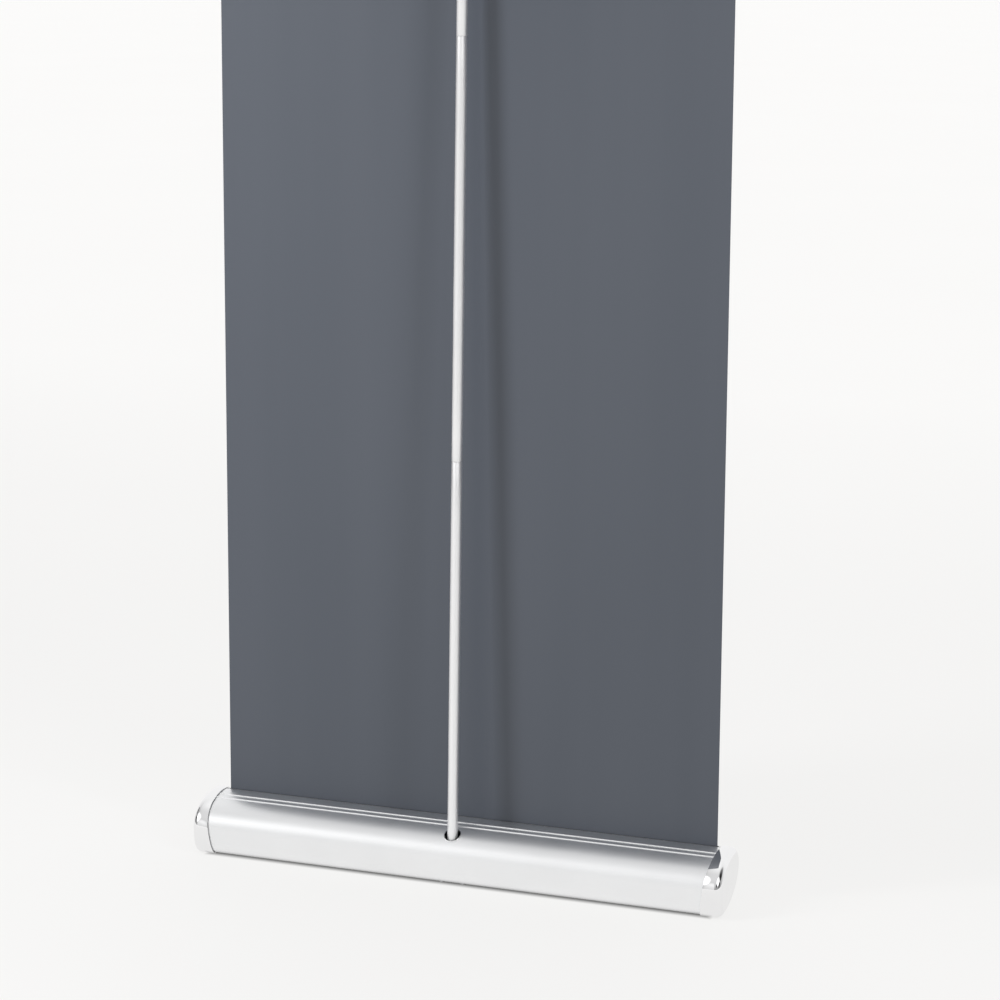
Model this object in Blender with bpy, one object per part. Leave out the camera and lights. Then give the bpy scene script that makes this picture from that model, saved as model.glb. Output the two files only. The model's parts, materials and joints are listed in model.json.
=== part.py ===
"""Roll-up banner stand: a cassette base with a sprung roller, a film graphic, a clamp rail and a plug-in pole.

Frame: metres, +Z up, X along the base, the printed side of the graphic faces -Y and the pole stands behind it on +Y.
The origin is on the floor, in the middle of the stand's footprint with its feet out. The sizes below are measured from
the graphic's plane instead, and one empty carries the whole stand back from there to the origin.
"""

import math

import bmesh
import bpy
from mathutils import Vector

# Clearances
GAP = 0.0003                    # between pieces that touch
TURNING_GAP = 0.0004            # between a bore and what turns in it

# Graphic
GRAPHIC_WIDTH = 0.850
FILM_THICKNESS = 0.0004

# Base housing: an aluminium extrusion whose outline is four superelliptic quarters
HOUSING_END_SPACE = 0.011       # from the graphic's edge to the housing's end
HOUSING_WALL = 0.0020
TOP_Y, TOP_Z = 0.002, 0.094
REAR_Y, REAR_Z = 0.0845, 0.044
BOTTOM_Y, BOTTOM_Z = 0.064, 0.003
FRONT_Y, FRONT_Z = -0.021, 0.066
REAR_TOP_POWER = 2.2
REAR_BOTTOM_POWER = 2.4
FRONT_BOTTOM_POWER = 1.85
FRONT_TOP_POWER = 2.0
QUARTER_STEPS = 10
SLOT_WIDTH = 0.0056
LIP_DEPTH = 0.0075
LIP_ROUND = 0.0008
RIB_PLACES = (0.029, 0.0405)    # distance of each rib behind the graphic
RIB_WIDTH = 0.0026
RIB_HEIGHT = 0.0014
PORT_PLACES = (0.25, 1.0, 2.5, 3.35)
PORT_RADIUS = 0.0036
PORT_BORE = 0.0021
PORT_BITE = 0.0012              # how far a screw port sinks into the wall
PORT_STEPS = 12

# End caps and end plates
CAP_WALL = 0.0020
CAP_OVERHANG = 0.021            # from the housing's end to the cap's outer face
CAP_OVERLAP = 0.0157            # from the housing's end in to the seam's lowest point
CAP_SEAM_SLOPE = 0.126          # the seam leans outwards as it rises
CAP_EDGE_ROUND = 0.0127
CAP_ROUND_STEPS = 5
PLATE_THICKNESS = 0.0040
PLATE_INSET = 0.0008
SCREW_RADIUS = 0.0017
SCREW_HEAD_RADIUS = 0.0034
SCREW_HEAD_HEIGHT = 0.0022
SCREW_LENGTH = 0.016
SCREW_STEPS = 12

# Roller
ROLLER_Z = 0.052
ROLLER_RADIUS = 0.016
ROLLER_WALL = 0.0012
ROLLER_END_SPACE = 0.0063       # from the roller tube's end to the housing's end
WOUND_THICKNESS = 0.0023
SHAFT_RADIUS = 0.004
SHAFT_SQUARE = 0.0028           # half the width across the square's flats
SHAFT_LENGTH = 0.372
HUB_DEPTH = 0.022
FLANGE_STANDS_OUT = 0.0018      # past the roller tube
FLANGE_THICKNESS = 0.0022
SPRING_RADIUS = 0.0095
SPRING_WIRE = 0.0009
SPRING_TURNS = 34
SPRING_STEPS = 10
SPRING_SIDES = 5
SPRING_END_SPACE = 0.0010
ANCHOR_LENGTH = 0.014
ANCHOR_RADIUS = 0.011
BUSH_LENGTH = 0.010
PIN_LENGTH = 0.025

# Slot brushes
BRUSH_HEIGHT = 0.0073
BRUSH_RISE = 0.0008             # above the slot's lips
BRUSH_OVERHANG = 0.001          # past the graphic's edge

# Pole
POLE_RADIUS = 0.0085
POLE_WALL = 0.0012
SECTION_LENGTH = 0.661
POLE_FOOT_Z = 0.029
POLE_HOLE_Y = 0.062
POLE_HEAD_SPACE = 0.0020        # between the head's collar and the rail's yoke
FERRULE_LENGTH = 0.085
FERRULE_STANDS_OUT = 0.040
FERRULE_WALL = 0.0010
BUNGEE_RADIUS = 0.0025
FOOT_TIP = 0.008
PLUG_DEPTH = 0.020
HEAD_COLLAR = 0.010
BLADE_HEIGHT = 0.016
BLADE_THICKNESS = 0.004
BLADE_DEPTH = 0.011

# Pole hole and socket
GROMMET_CLEARANCE = 0.0045      # between the pole and the bore
GROMMET_WALL = 0.0008
GROMMET_LIP_WIDTH = 0.0006
GROMMET_LIP_HEIGHT = 0.0014
GROMMET_DEPTH = 0.0020
SOCKET_CLEARANCE = 0.0009       # between the foot plug and the bore
SOCKET_WALL = 0.0022
SOCKET_DEPTH = 0.015
SOCKET_FLOOR = 0.0040
SOCKET_STEM = 0.0060
SOCKET_FOOT_SPACE = 0.0016      # its flat foot stands on the curved wall at its long edges
SOCKET_FOOT_THICKNESS = 0.0030
SOCKET_FOOT_LENGTH = 0.050
SOCKET_FOOT_WIDTH = 0.013
SOCKET_SCREW_X = 0.018
SOCKET_SCREW_REACH = 0.0065

# Feet
PAD_RADIUS = 0.006
PAD_Y = 0.052
PAD_END_SPACE = 0.056           # from the pad's middle to the housing's end
FOOT_END_SPACE = 0.106          # from the foot's pivot to the housing's end
FOOT_PIVOT_Y = 0.012
FOOT_WIDTH = 0.024
FOOT_REACH = 0.165
FOOT_BOTTOM = 0.0020
FOOT_TOP = 0.0080
TIP_PAD_RADIUS = 0.009
TIP_PAD_INSET = 0.013
PIVOT_RADIUS = 0.0025
PIVOT_HEAD_RADIUS = 0.0050
PIVOT_HEAD_HEIGHT = 0.0020
PIVOT_REACH = 0.0075            # how far the pivot bolt goes into its bracket
BRACKET_LENGTH = 0.040
BRACKET_BACK = 0.011
BRACKET_FRONT = 0.013
BRACKET_STEPS = 6

# Top rail
RAIL_HEIGHT = 0.034
RAIL_OVERHANG = 0.003           # past the graphic's edge
RAIL_ABOVE_POLE = 0.0045
RAIL_GRIP = 0.024               # how much of the graphic the rail holds
RAIL_REAR = 0.0055
RAIL_WALL = 0.0018
RAIL_TOP_WALL = 0.0014
RAIL_LIP_DROP = 0.0080
BEAD_RADIUS = 0.0024
BEAD_Y = -0.0040
RAIL_FLANGE_FRONT = -0.0076
JAW_BULGE = 0.0125
JAW_WALL = 0.0016
JAW_FOOT_Y = 0.0030
RAIL_CAP_THICKNESS = 0.0025
RAIL_CAP_MARGIN = 0.0008
YOKE_CLEARANCE = 0.0008         # between the pole and each ear
YOKE_EAR = 0.0035
YOKE_REACH = 0.0125
YOKE_PLATE = 0.0016
YOKE_DROP = 0.0050
YOKE_HEIGHT = 0.022

ROUND = 24

# Worked out from the sizes above
HALF_GRAPHIC = GRAPHIC_WIDTH / 2.0
HALF_HOUSING = HALF_GRAPHIC + HOUSING_END_SPACE
HALF_BRUSH = HALF_GRAPHIC + BRUSH_OVERHANG
HALF_RAIL = HALF_GRAPHIC + RAIL_OVERHANG
HALF_FILM = FILM_THICKNESS / 2.0
HALF_SLOT = SLOT_WIDTH / 2.0
WOUND_RADIUS = ROLLER_RADIUS + GAP + WOUND_THICKNESS
ROLLER_Y = WOUND_RADIUS + GAP + HALF_FILM
ROLLER_END = HALF_HOUSING - ROLLER_END_SPACE
PLATE_INNER = HALF_HOUSING + GAP
PLATE_OUTER = PLATE_INNER + PLATE_THICKNESS
LEADER_TOP = TOP_Z - LIP_DEPTH - 2.0 * GAP
FLANGE_RADIUS = ROLLER_RADIUS + FLANGE_STANDS_OUT
GROMMET_BORE = POLE_RADIUS + GROMMET_CLEARANCE
SOCKET_BORE = POLE_RADIUS + SOCKET_CLEARANCE
SOCKET_FOOT_Z = BOTTOM_Z + HOUSING_WALL + SOCKET_FOOT_SPACE
YOKE_GAP = POLE_RADIUS + YOKE_CLEARANCE
POLE_LENGTH = 3.0 * SECTION_LENGTH + HEAD_COLLAR + BLADE_HEIGHT
POLE_HEAD_Y = RAIL_REAR + GAP + YOKE_PLATE + POLE_HEAD_SPACE + POLE_RADIUS
PAD_PLACES = (("left", PAD_END_SPACE - HALF_HOUSING), ("middle", 0.0), ("right", HALF_HOUSING - PAD_END_SPACE))
FOOT_PIVOT_X = HALF_HOUSING - FOOT_END_SPACE
SCREW_HOLE = SCREW_RADIUS + GAP
STAND_Y = -(REAR_Y + GAP + CAP_WALL + FOOT_PIVOT_Y - FOOT_REACH) / 2.0
SIDES = (("left", -1.0), ("right", 1.0))


# ---------------------------------------------------------------- modelling helpers

def clear_scene():
    for item in list(bpy.data.objects):
        bpy.data.objects.remove(item, do_unlink=True)


def finish(name, colour, roughness, metallic=0.0):
    made = bpy.data.materials.new(name)
    made.use_nodes = True
    shader = made.node_tree.nodes["Principled BSDF"]
    shader.inputs["Base Color"].default_value = (*colour, 1.0)
    shader.inputs["Roughness"].default_value = roughness
    shader.inputs["Metallic"].default_value = metallic
    made.diffuse_color = (*colour, 1.0)
    return made


def stand():
    """The empty that everything else hangs from."""
    made = bpy.data.objects.get("stand_frame")
    if made is None:
        made = bpy.data.objects.new("stand_frame", None)
        made.location.y = STAND_Y
        bpy.context.scene.collection.objects.link(made)
    return made


def empty(name, place, lean=0.0, parent=None):
    made = bpy.data.objects.new(name, None)
    made.location = place
    made.rotation_euler.x = lean
    made.parent = parent or stand()
    bpy.context.scene.collection.objects.link(made)
    return made


def piece(name, mesh, material, place=(0.0, 0.0, 0.0), parent=None, lean=0.0):
    """Makes a mesh into a named object at a place in its parent's frame."""
    data = bpy.data.meshes.new(name)
    bmesh.ops.recalc_face_normals(mesh, faces=mesh.faces)
    mesh.to_mesh(data)
    mesh.free()
    data.materials.append(material)
    made = bpy.data.objects.new(name, data)
    made.location = place
    made.rotation_euler.x = lean
    made.parent = parent or stand()
    bpy.context.scene.collection.objects.link(made)
    shade(made)
    return made


def shade(item):
    item.data.shade_smooth()
    item.data.set_sharp_from_angle(angle=math.radians(35.0))


def bridge(rings, looped=False):
    """Joins rings of equal count with quads; the end rings are filled, or the last ring meets the first."""
    mesh = bmesh.new()
    rows = [[mesh.verts.new(point) for point in ring] for ring in rings]
    pairs = list(zip(rows, rows[1:]))
    if looped:
        pairs.append((rows[-1], rows[0]))
    else:
        mesh.faces.new(rows[0])
        mesh.faces.new(rows[-1])
    for near, far in pairs:
        for i in range(len(near)):
            j = (i + 1) % len(near)
            mesh.faces.new((near[i], near[j], far[j], far[i]))
    return mesh


def circle(radius, along, axis, steps):
    points = []
    for step in range(steps):
        angle = 2.0 * math.pi * step / steps
        across, up = radius * math.cos(angle), radius * math.sin(angle)
        points.append((across, up, along) if axis == "Z" else (along, across, up))
    return points


def square(half_width, along, steps):
    """A square's edge across X, with as many points as a circle has."""
    points = []
    for step in range(steps):
        angle = 2.0 * math.pi * step / steps
        reach = half_width / max(abs(math.cos(angle)), abs(math.sin(angle)))
        points.append((along, reach * math.cos(angle), reach * math.sin(angle)))
    return points


def turned(profile, axis="Z", looped=False, steps=ROUND):
    """A body of revolution through (radius, distance along the axis) points."""
    return bridge([circle(radius, along, axis, steps) for radius, along in profile], looped)


def pipe(inner, outer, low, high, axis="Z", steps=ROUND):
    return turned([(outer, low), (outer, high), (inner, high), (inner, low)], axis, True, steps)


def rod(radius, low, high, axis="Z", steps=ROUND):
    return turned([(radius, low), (radius, high)], axis, False, steps)


def prism(outline, low, high, axis="X"):
    """Extrudes a closed outline: (y, z) points along X, or (x, y) points along Z."""
    if axis == "X":
        return bridge([[(x, y, z) for y, z in outline] for x in (low, high)])
    return bridge([[(x, y, z) for x, y in outline] for z in (low, high)])


def arc(centre, radius, start, stop, steps):
    """Points of a circular arc between two angles in degrees."""
    points = []
    for step in range(steps + 1):
        angle = math.radians(start + (stop - start) * step / steps)
        points.append((centre[0] + radius * math.cos(angle), centre[1] + radius * math.sin(angle)))
    return points


def rounded_box(low, high, radius, steps=4):
    """A rectangle's outline with round corners."""
    (x0, y0), (x1, y1) = low, high
    corners = (((x1 - radius, y1 - radius), 0.0), ((x0 + radius, y1 - radius), 90.0),
               ((x0 + radius, y0 + radius), 180.0), ((x1 - radius, y0 + radius), 270.0))
    points = []
    for centre, start in corners:
        points += arc(centre, radius, start, start + 90.0, steps)
    return points


def combine(target, mesh, operation, place=(0.0, 0.0, 0.0), lean=0.0):
    """Cuts a solid out of the target, or joins it on, with an exact Boolean that is applied at once."""
    other = piece("tool", mesh, target.data.materials[0], place, None, lean)
    modifier = target.modifiers.new("combine", "BOOLEAN")
    modifier.operation = operation
    modifier.solver = "EXACT"
    modifier.object = other
    bpy.context.view_layer.update()
    evaluated = target.evaluated_get(bpy.context.evaluated_depsgraph_get())
    target.data = bpy.data.meshes.new_from_object(evaluated)
    target.modifiers.clear()
    bpy.data.objects.remove(other, do_unlink=True)
    shade(target)


def cut(target, mesh, place=(0.0, 0.0, 0.0), lean=0.0):
    combine(target, mesh, "DIFFERENCE", place, lean)


def join(target, mesh, place=(0.0, 0.0, 0.0), lean=0.0):
    combine(target, mesh, "UNION", place, lean)


# ---------------------------------------------------------------- the housing's outline

QUARTERS = (
    # centre y, centre z, reach in y, reach in z, starts above or below its centre, power
    (TOP_Y, REAR_Z, REAR_Y - TOP_Y, TOP_Z - REAR_Z, True, REAR_TOP_POWER),
    (BOTTOM_Y, REAR_Z, REAR_Y - BOTTOM_Y, BOTTOM_Z - REAR_Z, False, REAR_BOTTOM_POWER),
    (BOTTOM_Y, FRONT_Z, FRONT_Y - BOTTOM_Y, BOTTOM_Z - FRONT_Z, True, FRONT_BOTTOM_POWER),
    (TOP_Y, FRONT_Z, FRONT_Y - TOP_Y, TOP_Z - FRONT_Z, False, FRONT_TOP_POWER),
)


def outline_point(place):
    """The outline at a place from 0 (top) through 1 (rear), 2 (bottom) and 3 (front) to 4 (top again)."""
    quarter = min(3, int(place))
    centre_y, centre_z, reach_y, reach_z, upright, power = QUARTERS[quarter]
    turn = (place - quarter) * math.pi / 2.0
    sideways, upward = max(0.0, math.sin(turn)), max(0.0, math.cos(turn))
    if not upright:
        sideways, upward = upward, sideways
    return Vector((centre_y + reach_y * sideways ** (2.0 / power), centre_z + reach_z * upward ** (2.0 / power)))


def outline_normal(place):
    """The direction straight out of the outline."""
    step = 0.002
    along = (outline_point((place + step) % 4.0) - outline_point((place - step) % 4.0)).normalized()
    return Vector((-along.y, along.x))


def offset_point(place, offset):
    return outline_point(place) + outline_normal(place) * offset


def place_at(quarter, y):
    """The place on one quarter of the outline that is at a given y."""
    centre_y, _, reach_y, _, upright, power = QUARTERS[quarter]
    share = ((y - centre_y) / reach_y) ** (power / 2.0)
    turn = math.asin(share) if upright else math.acos(share)
    return quarter + turn * 2.0 / math.pi


def outline_ring(offset, across, relief=0.0):
    """The whole outline, offset outwards, as a ring; across gives the ring's x for a height.

    A relief lifts the ring clear of the ribs along the housing's top.
    """
    ribs = place_at(0, RIB_PLACES[0] - RIB_WIDTH), place_at(0, RIB_PLACES[-1] + 1.5 * RIB_WIDTH)
    ring = []
    for step in range(4 * QUARTER_STEPS):
        place = step / QUARTER_STEPS
        y, z = offset_point(place, offset + (relief if ribs[0] < place < ribs[1] else 0.0))
        ring.append((across(z), y, z))
    return ring


# The pole leans from the hole in the housing's top to its place behind the rail, and the rail stands at its head.
HOLE_Z = outline_point(place_at(0, POLE_HOLE_Y)).y
POLE_LEAN = math.asin((POLE_HOLE_Y - POLE_HEAD_Y) / (POLE_LENGTH - HOLE_Z + POLE_FOOT_Z))
RAIL_TOP = POLE_FOOT_Z + POLE_LENGTH * math.cos(POLE_LEAN) + RAIL_ABOVE_POLE
RAIL_BOTTOM = RAIL_TOP - RAIL_HEIGHT


# ---------------------------------------------------------------- base

def rib_places():
    """The places and heights of the two fine ribs along the housing's top."""
    shape = ((-0.5, 0.0), (-0.3, 0.75), (0.0, 1.0), (0.3, 0.75), (0.5, 0.0))
    return [(place_at(0, rib + share * RIB_WIDTH), height * RIB_HEIGHT)
            for rib in RIB_PLACES for share, height in shape]


def housing_wall():
    """Outer and inner points of the wall, from the slot's rear lip round to its front lip."""
    lip_bottom = TOP_Z - LIP_DEPTH
    lip_inner = HALF_SLOT + HOUSING_WALL
    first = place_at(0, lip_inner + HOUSING_WALL)
    last = place_at(3, -lip_inner - HOUSING_WALL)
    plain = [(step / QUARTER_STEPS, 0.0) for step in range(4 * QUARTER_STEPS)]
    near_rib = [(place_at(0, rib - RIB_WIDTH), place_at(0, rib + RIB_WIDTH)) for rib in RIB_PLACES]
    kept = [spot for spot in plain if first < spot[0] < last
            and not any(low < spot[0] < high for low, high in near_rib)]
    spots = sorted(kept + rib_places() + [(first, 0.0), (last, 0.0)])

    def lip(side, quarter):
        edge = place_at(quarter, side * (HALF_SLOT + LIP_ROUND))
        level = outline_point(edge).y
        return [((side * HALF_SLOT, lip_bottom), (side * lip_inner, lip_bottom)),
                ((side * HALF_SLOT, level - LIP_ROUND), (side * lip_inner, level - HOUSING_WALL - LIP_ROUND)),
                (tuple(outline_point(edge)), (side * (lip_inner + LIP_ROUND), level - HOUSING_WALL))]

    middle = [(offset_point(place, height), offset_point(place, -HOUSING_WALL)) for place, height in spots]
    return lip(1.0, 0) + middle + lip(-1.0, 3)[::-1]


def make_housing(aluminium):
    rows = housing_wall()
    mesh = bmesh.new()
    ends = []
    for x in (-HALF_HOUSING, HALF_HOUSING):
        ends.append([[mesh.verts.new((x, point[0], point[1])) for point in row] for row in rows])
    low, high = ends
    for i in range(len(rows) - 1):
        j = i + 1
        mesh.faces.new((low[i][0], low[j][0], high[j][0], high[i][0]))
        mesh.faces.new((low[i][1], high[i][1], high[j][1], low[j][1]))
        for end in ends:
            mesh.faces.new((end[i][0], end[i][1], end[j][1], end[j][0]))
    for i in (0, len(rows) - 1):
        mesh.faces.new((low[i][0], high[i][0], high[i][1], low[i][1]))
    housing = piece("base_housing", mesh, aluminium)
    for y, z in port_centres():
        port = pipe(PORT_BORE, PORT_RADIUS, -HALF_HOUSING + GAP, HALF_HOUSING - GAP, "X", PORT_STEPS)
        join(housing, port, (0.0, y, z))
    y, z, tilt = grommet_seat()
    radius = GROMMET_BORE + GROMMET_WALL + GAP
    reach = GROMMET_DEPTH + HOUSING_WALL + surface_drop(place_at(0, POLE_HOLE_Y), radius)
    cut(housing, rod(radius, -reach, reach), (0.0, y, z), tilt)
    for _, side in SIDES:
        hole = rod(SCREW_HOLE, 0.0, SOCKET_FOOT_Z + GAP, steps=SCREW_STEPS)
        cut(housing, hole, (side * SOCKET_SCREW_X, BOTTOM_Y, 0.0))


def port_centres():
    return [offset_point(place, PORT_BITE - HOUSING_WALL - PORT_RADIUS) for place in PORT_PLACES]


def make_end_plate(name, side, plastic):
    span = (side * PLATE_INNER, side * PLATE_OUTER)
    plate = piece(name, bridge([outline_ring(-PLATE_INSET, lambda z, x=x: x) for x in span]), plastic)
    deep = (min(span) - GAP, max(span) + GAP)
    for y, z in port_centres():
        cut(plate, rod(SCREW_HOLE, *deep, "X", SCREW_STEPS), (0.0, y, z))
    if side < 0.0:
        hole = bridge([square(SHAFT_SQUARE + GAP, x, 8) for x in deep])
    else:
        hole = rod(SHAFT_SQUARE + GAP, *deep, "X")
    cut(plate, hole, (0.0, ROLLER_Y, ROLLER_Z))


def screw(length, side):
    """A pan-head screw along X whose head sits on the plane x = 0 and points to the given side."""
    profile = [(SCREW_RADIUS, -length), (SCREW_RADIUS, 0.0), (SCREW_HEAD_RADIUS, 0.0),
               (SCREW_HEAD_RADIUS, 0.55 * SCREW_HEAD_HEIGHT), (0.6 * SCREW_HEAD_RADIUS, SCREW_HEAD_HEIGHT)]
    return turned([(radius, side * along) for radius, along in profile], "X", False, SCREW_STEPS)


def make_plate_screws(word, side, steel):
    for number, (y, z) in enumerate(port_centres(), 1):
        head = side * (PLATE_OUTER + GAP)
        piece(f"plate_screw_{word}_{number}", screw(SCREW_LENGTH, side), steel, (head, y, z))


def make_end_cap(name, side, chrome):
    """A thin shell over the housing's end, with a leaning seam and a rounded outer edge."""
    face = HALF_HOUSING + CAP_OVERHANG
    seam = HALF_HOUSING - CAP_OVERLAP

    def seam_x(z):
        return side * (seam + CAP_SEAM_SLOPE * (z - BOTTOM_Z))

    def shell(offset, end, radius, relief=0.0):
        rings = []
        for step in range(CAP_ROUND_STEPS + 1):
            turn = math.pi / 2.0 * step / CAP_ROUND_STEPS
            x = side * (end - radius * (1.0 - math.sin(turn)))
            rings.append(outline_ring(offset - radius * (1.0 - math.cos(turn)), lambda z, x=x: x, relief))
            relief = 0.0
        return rings

    outer = shell(GAP + CAP_WALL, face, CAP_EDGE_ROUND)
    inner = shell(GAP, face - CAP_WALL, CAP_EDGE_ROUND - CAP_WALL, RIB_HEIGHT)
    lip = [outline_ring(GAP, seam_x, RIB_HEIGHT), outline_ring(GAP + CAP_WALL, seam_x)]
    piece(name, bridge(inner[::-1] + lip + outer), chrome)


def make_brushes(pile):
    low, high = TOP_Z + BRUSH_RISE - BRUSH_HEIGHT, TOP_Z + BRUSH_RISE
    for word, side in (("rear", 1.0), ("front", -1.0)):
        near, far = side * (HALF_FILM + GAP), side * (HALF_SLOT - GAP)
        outline = [(near, low), (far, low), (far, high), (near, high)]
        piece(f"slot_brush_{word}", prism(outline, -HALF_BRUSH, HALF_BRUSH), pile)


# ---------------------------------------------------------------- roller

def make_shaft(steel):
    """The fixed shaft that the spring winds against, square where the left end plate holds it."""
    outer = -PLATE_OUTER - 5.0 * GAP
    shoulder = -HALF_HOUSING + 3.0 * GAP
    rings = [square(SHAFT_SQUARE, x, ROUND) for x in (outer, shoulder)]
    rings += [circle(SHAFT_RADIUS, x, "X", ROUND) for x in (shoulder, outer + SHAFT_LENGTH)]
    piece("spring_shaft", bridge(rings), steel, (0.0, ROLLER_Y, ROLLER_Z))


def make_idler_pin(steel):
    shoulder = HALF_HOUSING - GAP
    profile = [(SHAFT_RADIUS, shoulder - PIN_LENGTH), (SHAFT_RADIUS, shoulder),
               (SHAFT_SQUARE, shoulder), (SHAFT_SQUARE, PLATE_OUTER + 5.0 * GAP)]
    piece("idler_pin", turned(profile, "X"), steel, (0.0, ROLLER_Y, ROLLER_Z))


def shaft_end():
    return -PLATE_OUTER - 5.0 * GAP + SHAFT_LENGTH


def make_anchor(steel):
    """The collar on the fixed shaft that holds one end of the spring."""
    low = shaft_end() - BUSH_LENGTH - 0.010 - ANCHOR_LENGTH
    collar = pipe(SHAFT_RADIUS + GAP, ANCHOR_RADIUS, low, low + ANCHOR_LENGTH, "X")
    piece("spring_anchor", collar, steel, (0.0, ROLLER_Y, ROLLER_Z))
    return low


def make_roller(parent, aluminium, plastic, steel, film, anchor_low):
    tube = pipe(ROLLER_RADIUS - ROLLER_WALL, ROLLER_RADIUS, -ROLLER_END, ROLLER_END, "X")
    piece("roller_tube", tube, aluminium, parent=parent)
    wound = pipe(ROLLER_RADIUS + GAP, WOUND_RADIUS, -HALF_GRAPHIC, HALF_GRAPHIC, "X")
    piece("wound_leader", wound, film, parent=parent)

    bore = SHAFT_RADIUS + TURNING_GAP
    plug = ROLLER_RADIUS - ROLLER_WALL - GAP
    for name, side in (("drive_hub", -1.0), ("idler_hub", 1.0)):
        profile = [(bore, ROLLER_END - HUB_DEPTH), (plug, ROLLER_END - HUB_DEPTH), (plug, ROLLER_END + GAP),
                   (FLANGE_RADIUS, ROLLER_END + GAP), (FLANGE_RADIUS, ROLLER_END + GAP + FLANGE_THICKNESS),
                   (bore, ROLLER_END + GAP + FLANGE_THICKNESS)]
        piece(name, turned([(r, side * x) for r, x in profile], "X", True), plastic, parent=parent)

    bush_low = shaft_end() - BUSH_LENGTH
    piece("shaft_bush", pipe(bore, plug, bush_low, bush_low + BUSH_LENGTH, "X"), plastic, parent=parent)

    low = -ROLLER_END + HUB_DEPTH + SPRING_WIRE + SPRING_END_SPACE
    high = anchor_low - SPRING_WIRE - SPRING_END_SPACE
    piece("return_spring", coil(low, high), steel, parent=parent)


def coil(low, high):
    """A round wire wound about X."""
    count = SPRING_TURNS * SPRING_STEPS
    rings = []
    for step in range(count + 1):
        angle = 2.0 * math.pi * step / SPRING_STEPS
        centre_x = low + (high - low) * step / count
        ring = []
        for corner in range(SPRING_SIDES):
            turn = 2.0 * math.pi * corner / SPRING_SIDES
            radius = SPRING_RADIUS + SPRING_WIRE * math.cos(turn)
            x = centre_x + SPRING_WIRE * math.sin(turn)
            ring.append((x, radius * math.cos(angle), radius * math.sin(angle)))
        rings.append(ring)
    return bridge(rings)


def make_films(film):
    outline = [(-HALF_FILM, ROLLER_Z), (HALF_FILM, ROLLER_Z), (HALF_FILM, LEADER_TOP), (-HALF_FILM, LEADER_TOP)]
    piece("leader_film", prism(outline, -HALF_GRAPHIC, HALF_GRAPHIC), film)
    top = RAIL_BOTTOM + RAIL_GRIP
    low = LEADER_TOP + GAP
    outline = [(-HALF_FILM, low), (HALF_FILM, low), (HALF_FILM, top), (-HALF_FILM, top)]
    piece("graphic_panel", prism(outline, -HALF_GRAPHIC, HALF_GRAPHIC), film)


# ---------------------------------------------------------------- pole hole and socket

def grommet_seat():
    """Where the pole goes through the housing's top, and the tilt of the wall there."""
    place = place_at(0, POLE_HOLE_Y)
    y, z = outline_point(place)
    normal = outline_normal(place)
    return y, z, -math.atan2(normal.x, normal.y)


def surface_drop(place, along):
    """How far the outline falls away from its tangent at a place, a given distance along that tangent."""
    middle, normal = outline_point(place), outline_normal(place)
    tangent = Vector((normal.y, -normal.x))
    near = [outline_point(place + step / 1000.0) - middle for step in range(-350, 351)]
    return -min(near, key=lambda gap: abs(gap.dot(tangent) - along)).dot(normal)


def pole_foot():
    """The lower end of the pole's lowest tube: the pole's axis runs through the hole's middle."""
    return Vector((0.0, POLE_HOLE_Y + math.tan(POLE_LEAN) * (HOLE_Z - POLE_FOOT_Z), POLE_FOOT_Z))


def make_grommet(chrome):
    """A ring with a rounded lip, bent to lie on the housing's curve."""
    y, z, tilt = grommet_seat()
    barrel = GROMMET_BORE + GROMMET_WALL
    lip = barrel + GROMMET_LIP_WIDTH
    low, high = GAP + 0.35 * GROMMET_LIP_HEIGHT, GAP + 0.85 * GROMMET_LIP_HEIGHT
    profile = [(GROMMET_BORE, -GROMMET_DEPTH), (barrel, -GROMMET_DEPTH), (barrel, GAP), (lip, GAP), (lip, low),
               (lip - 0.3 * GROMMET_LIP_WIDTH, high), (barrel, GAP + GROMMET_LIP_HEIGHT),
               (GROMMET_BORE + 0.2 * GROMMET_LIP_WIDTH, high), (GROMMET_BORE, low)]
    ring = turned(profile, looped=True, steps=2 * ROUND)
    for corner in ring.verts:
        corner.co.z -= surface_drop(place_at(0, POLE_HOLE_Y), corner.co.y)
    piece("pole_grommet", ring, chrome, (0.0, y, z), lean=tilt)


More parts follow.
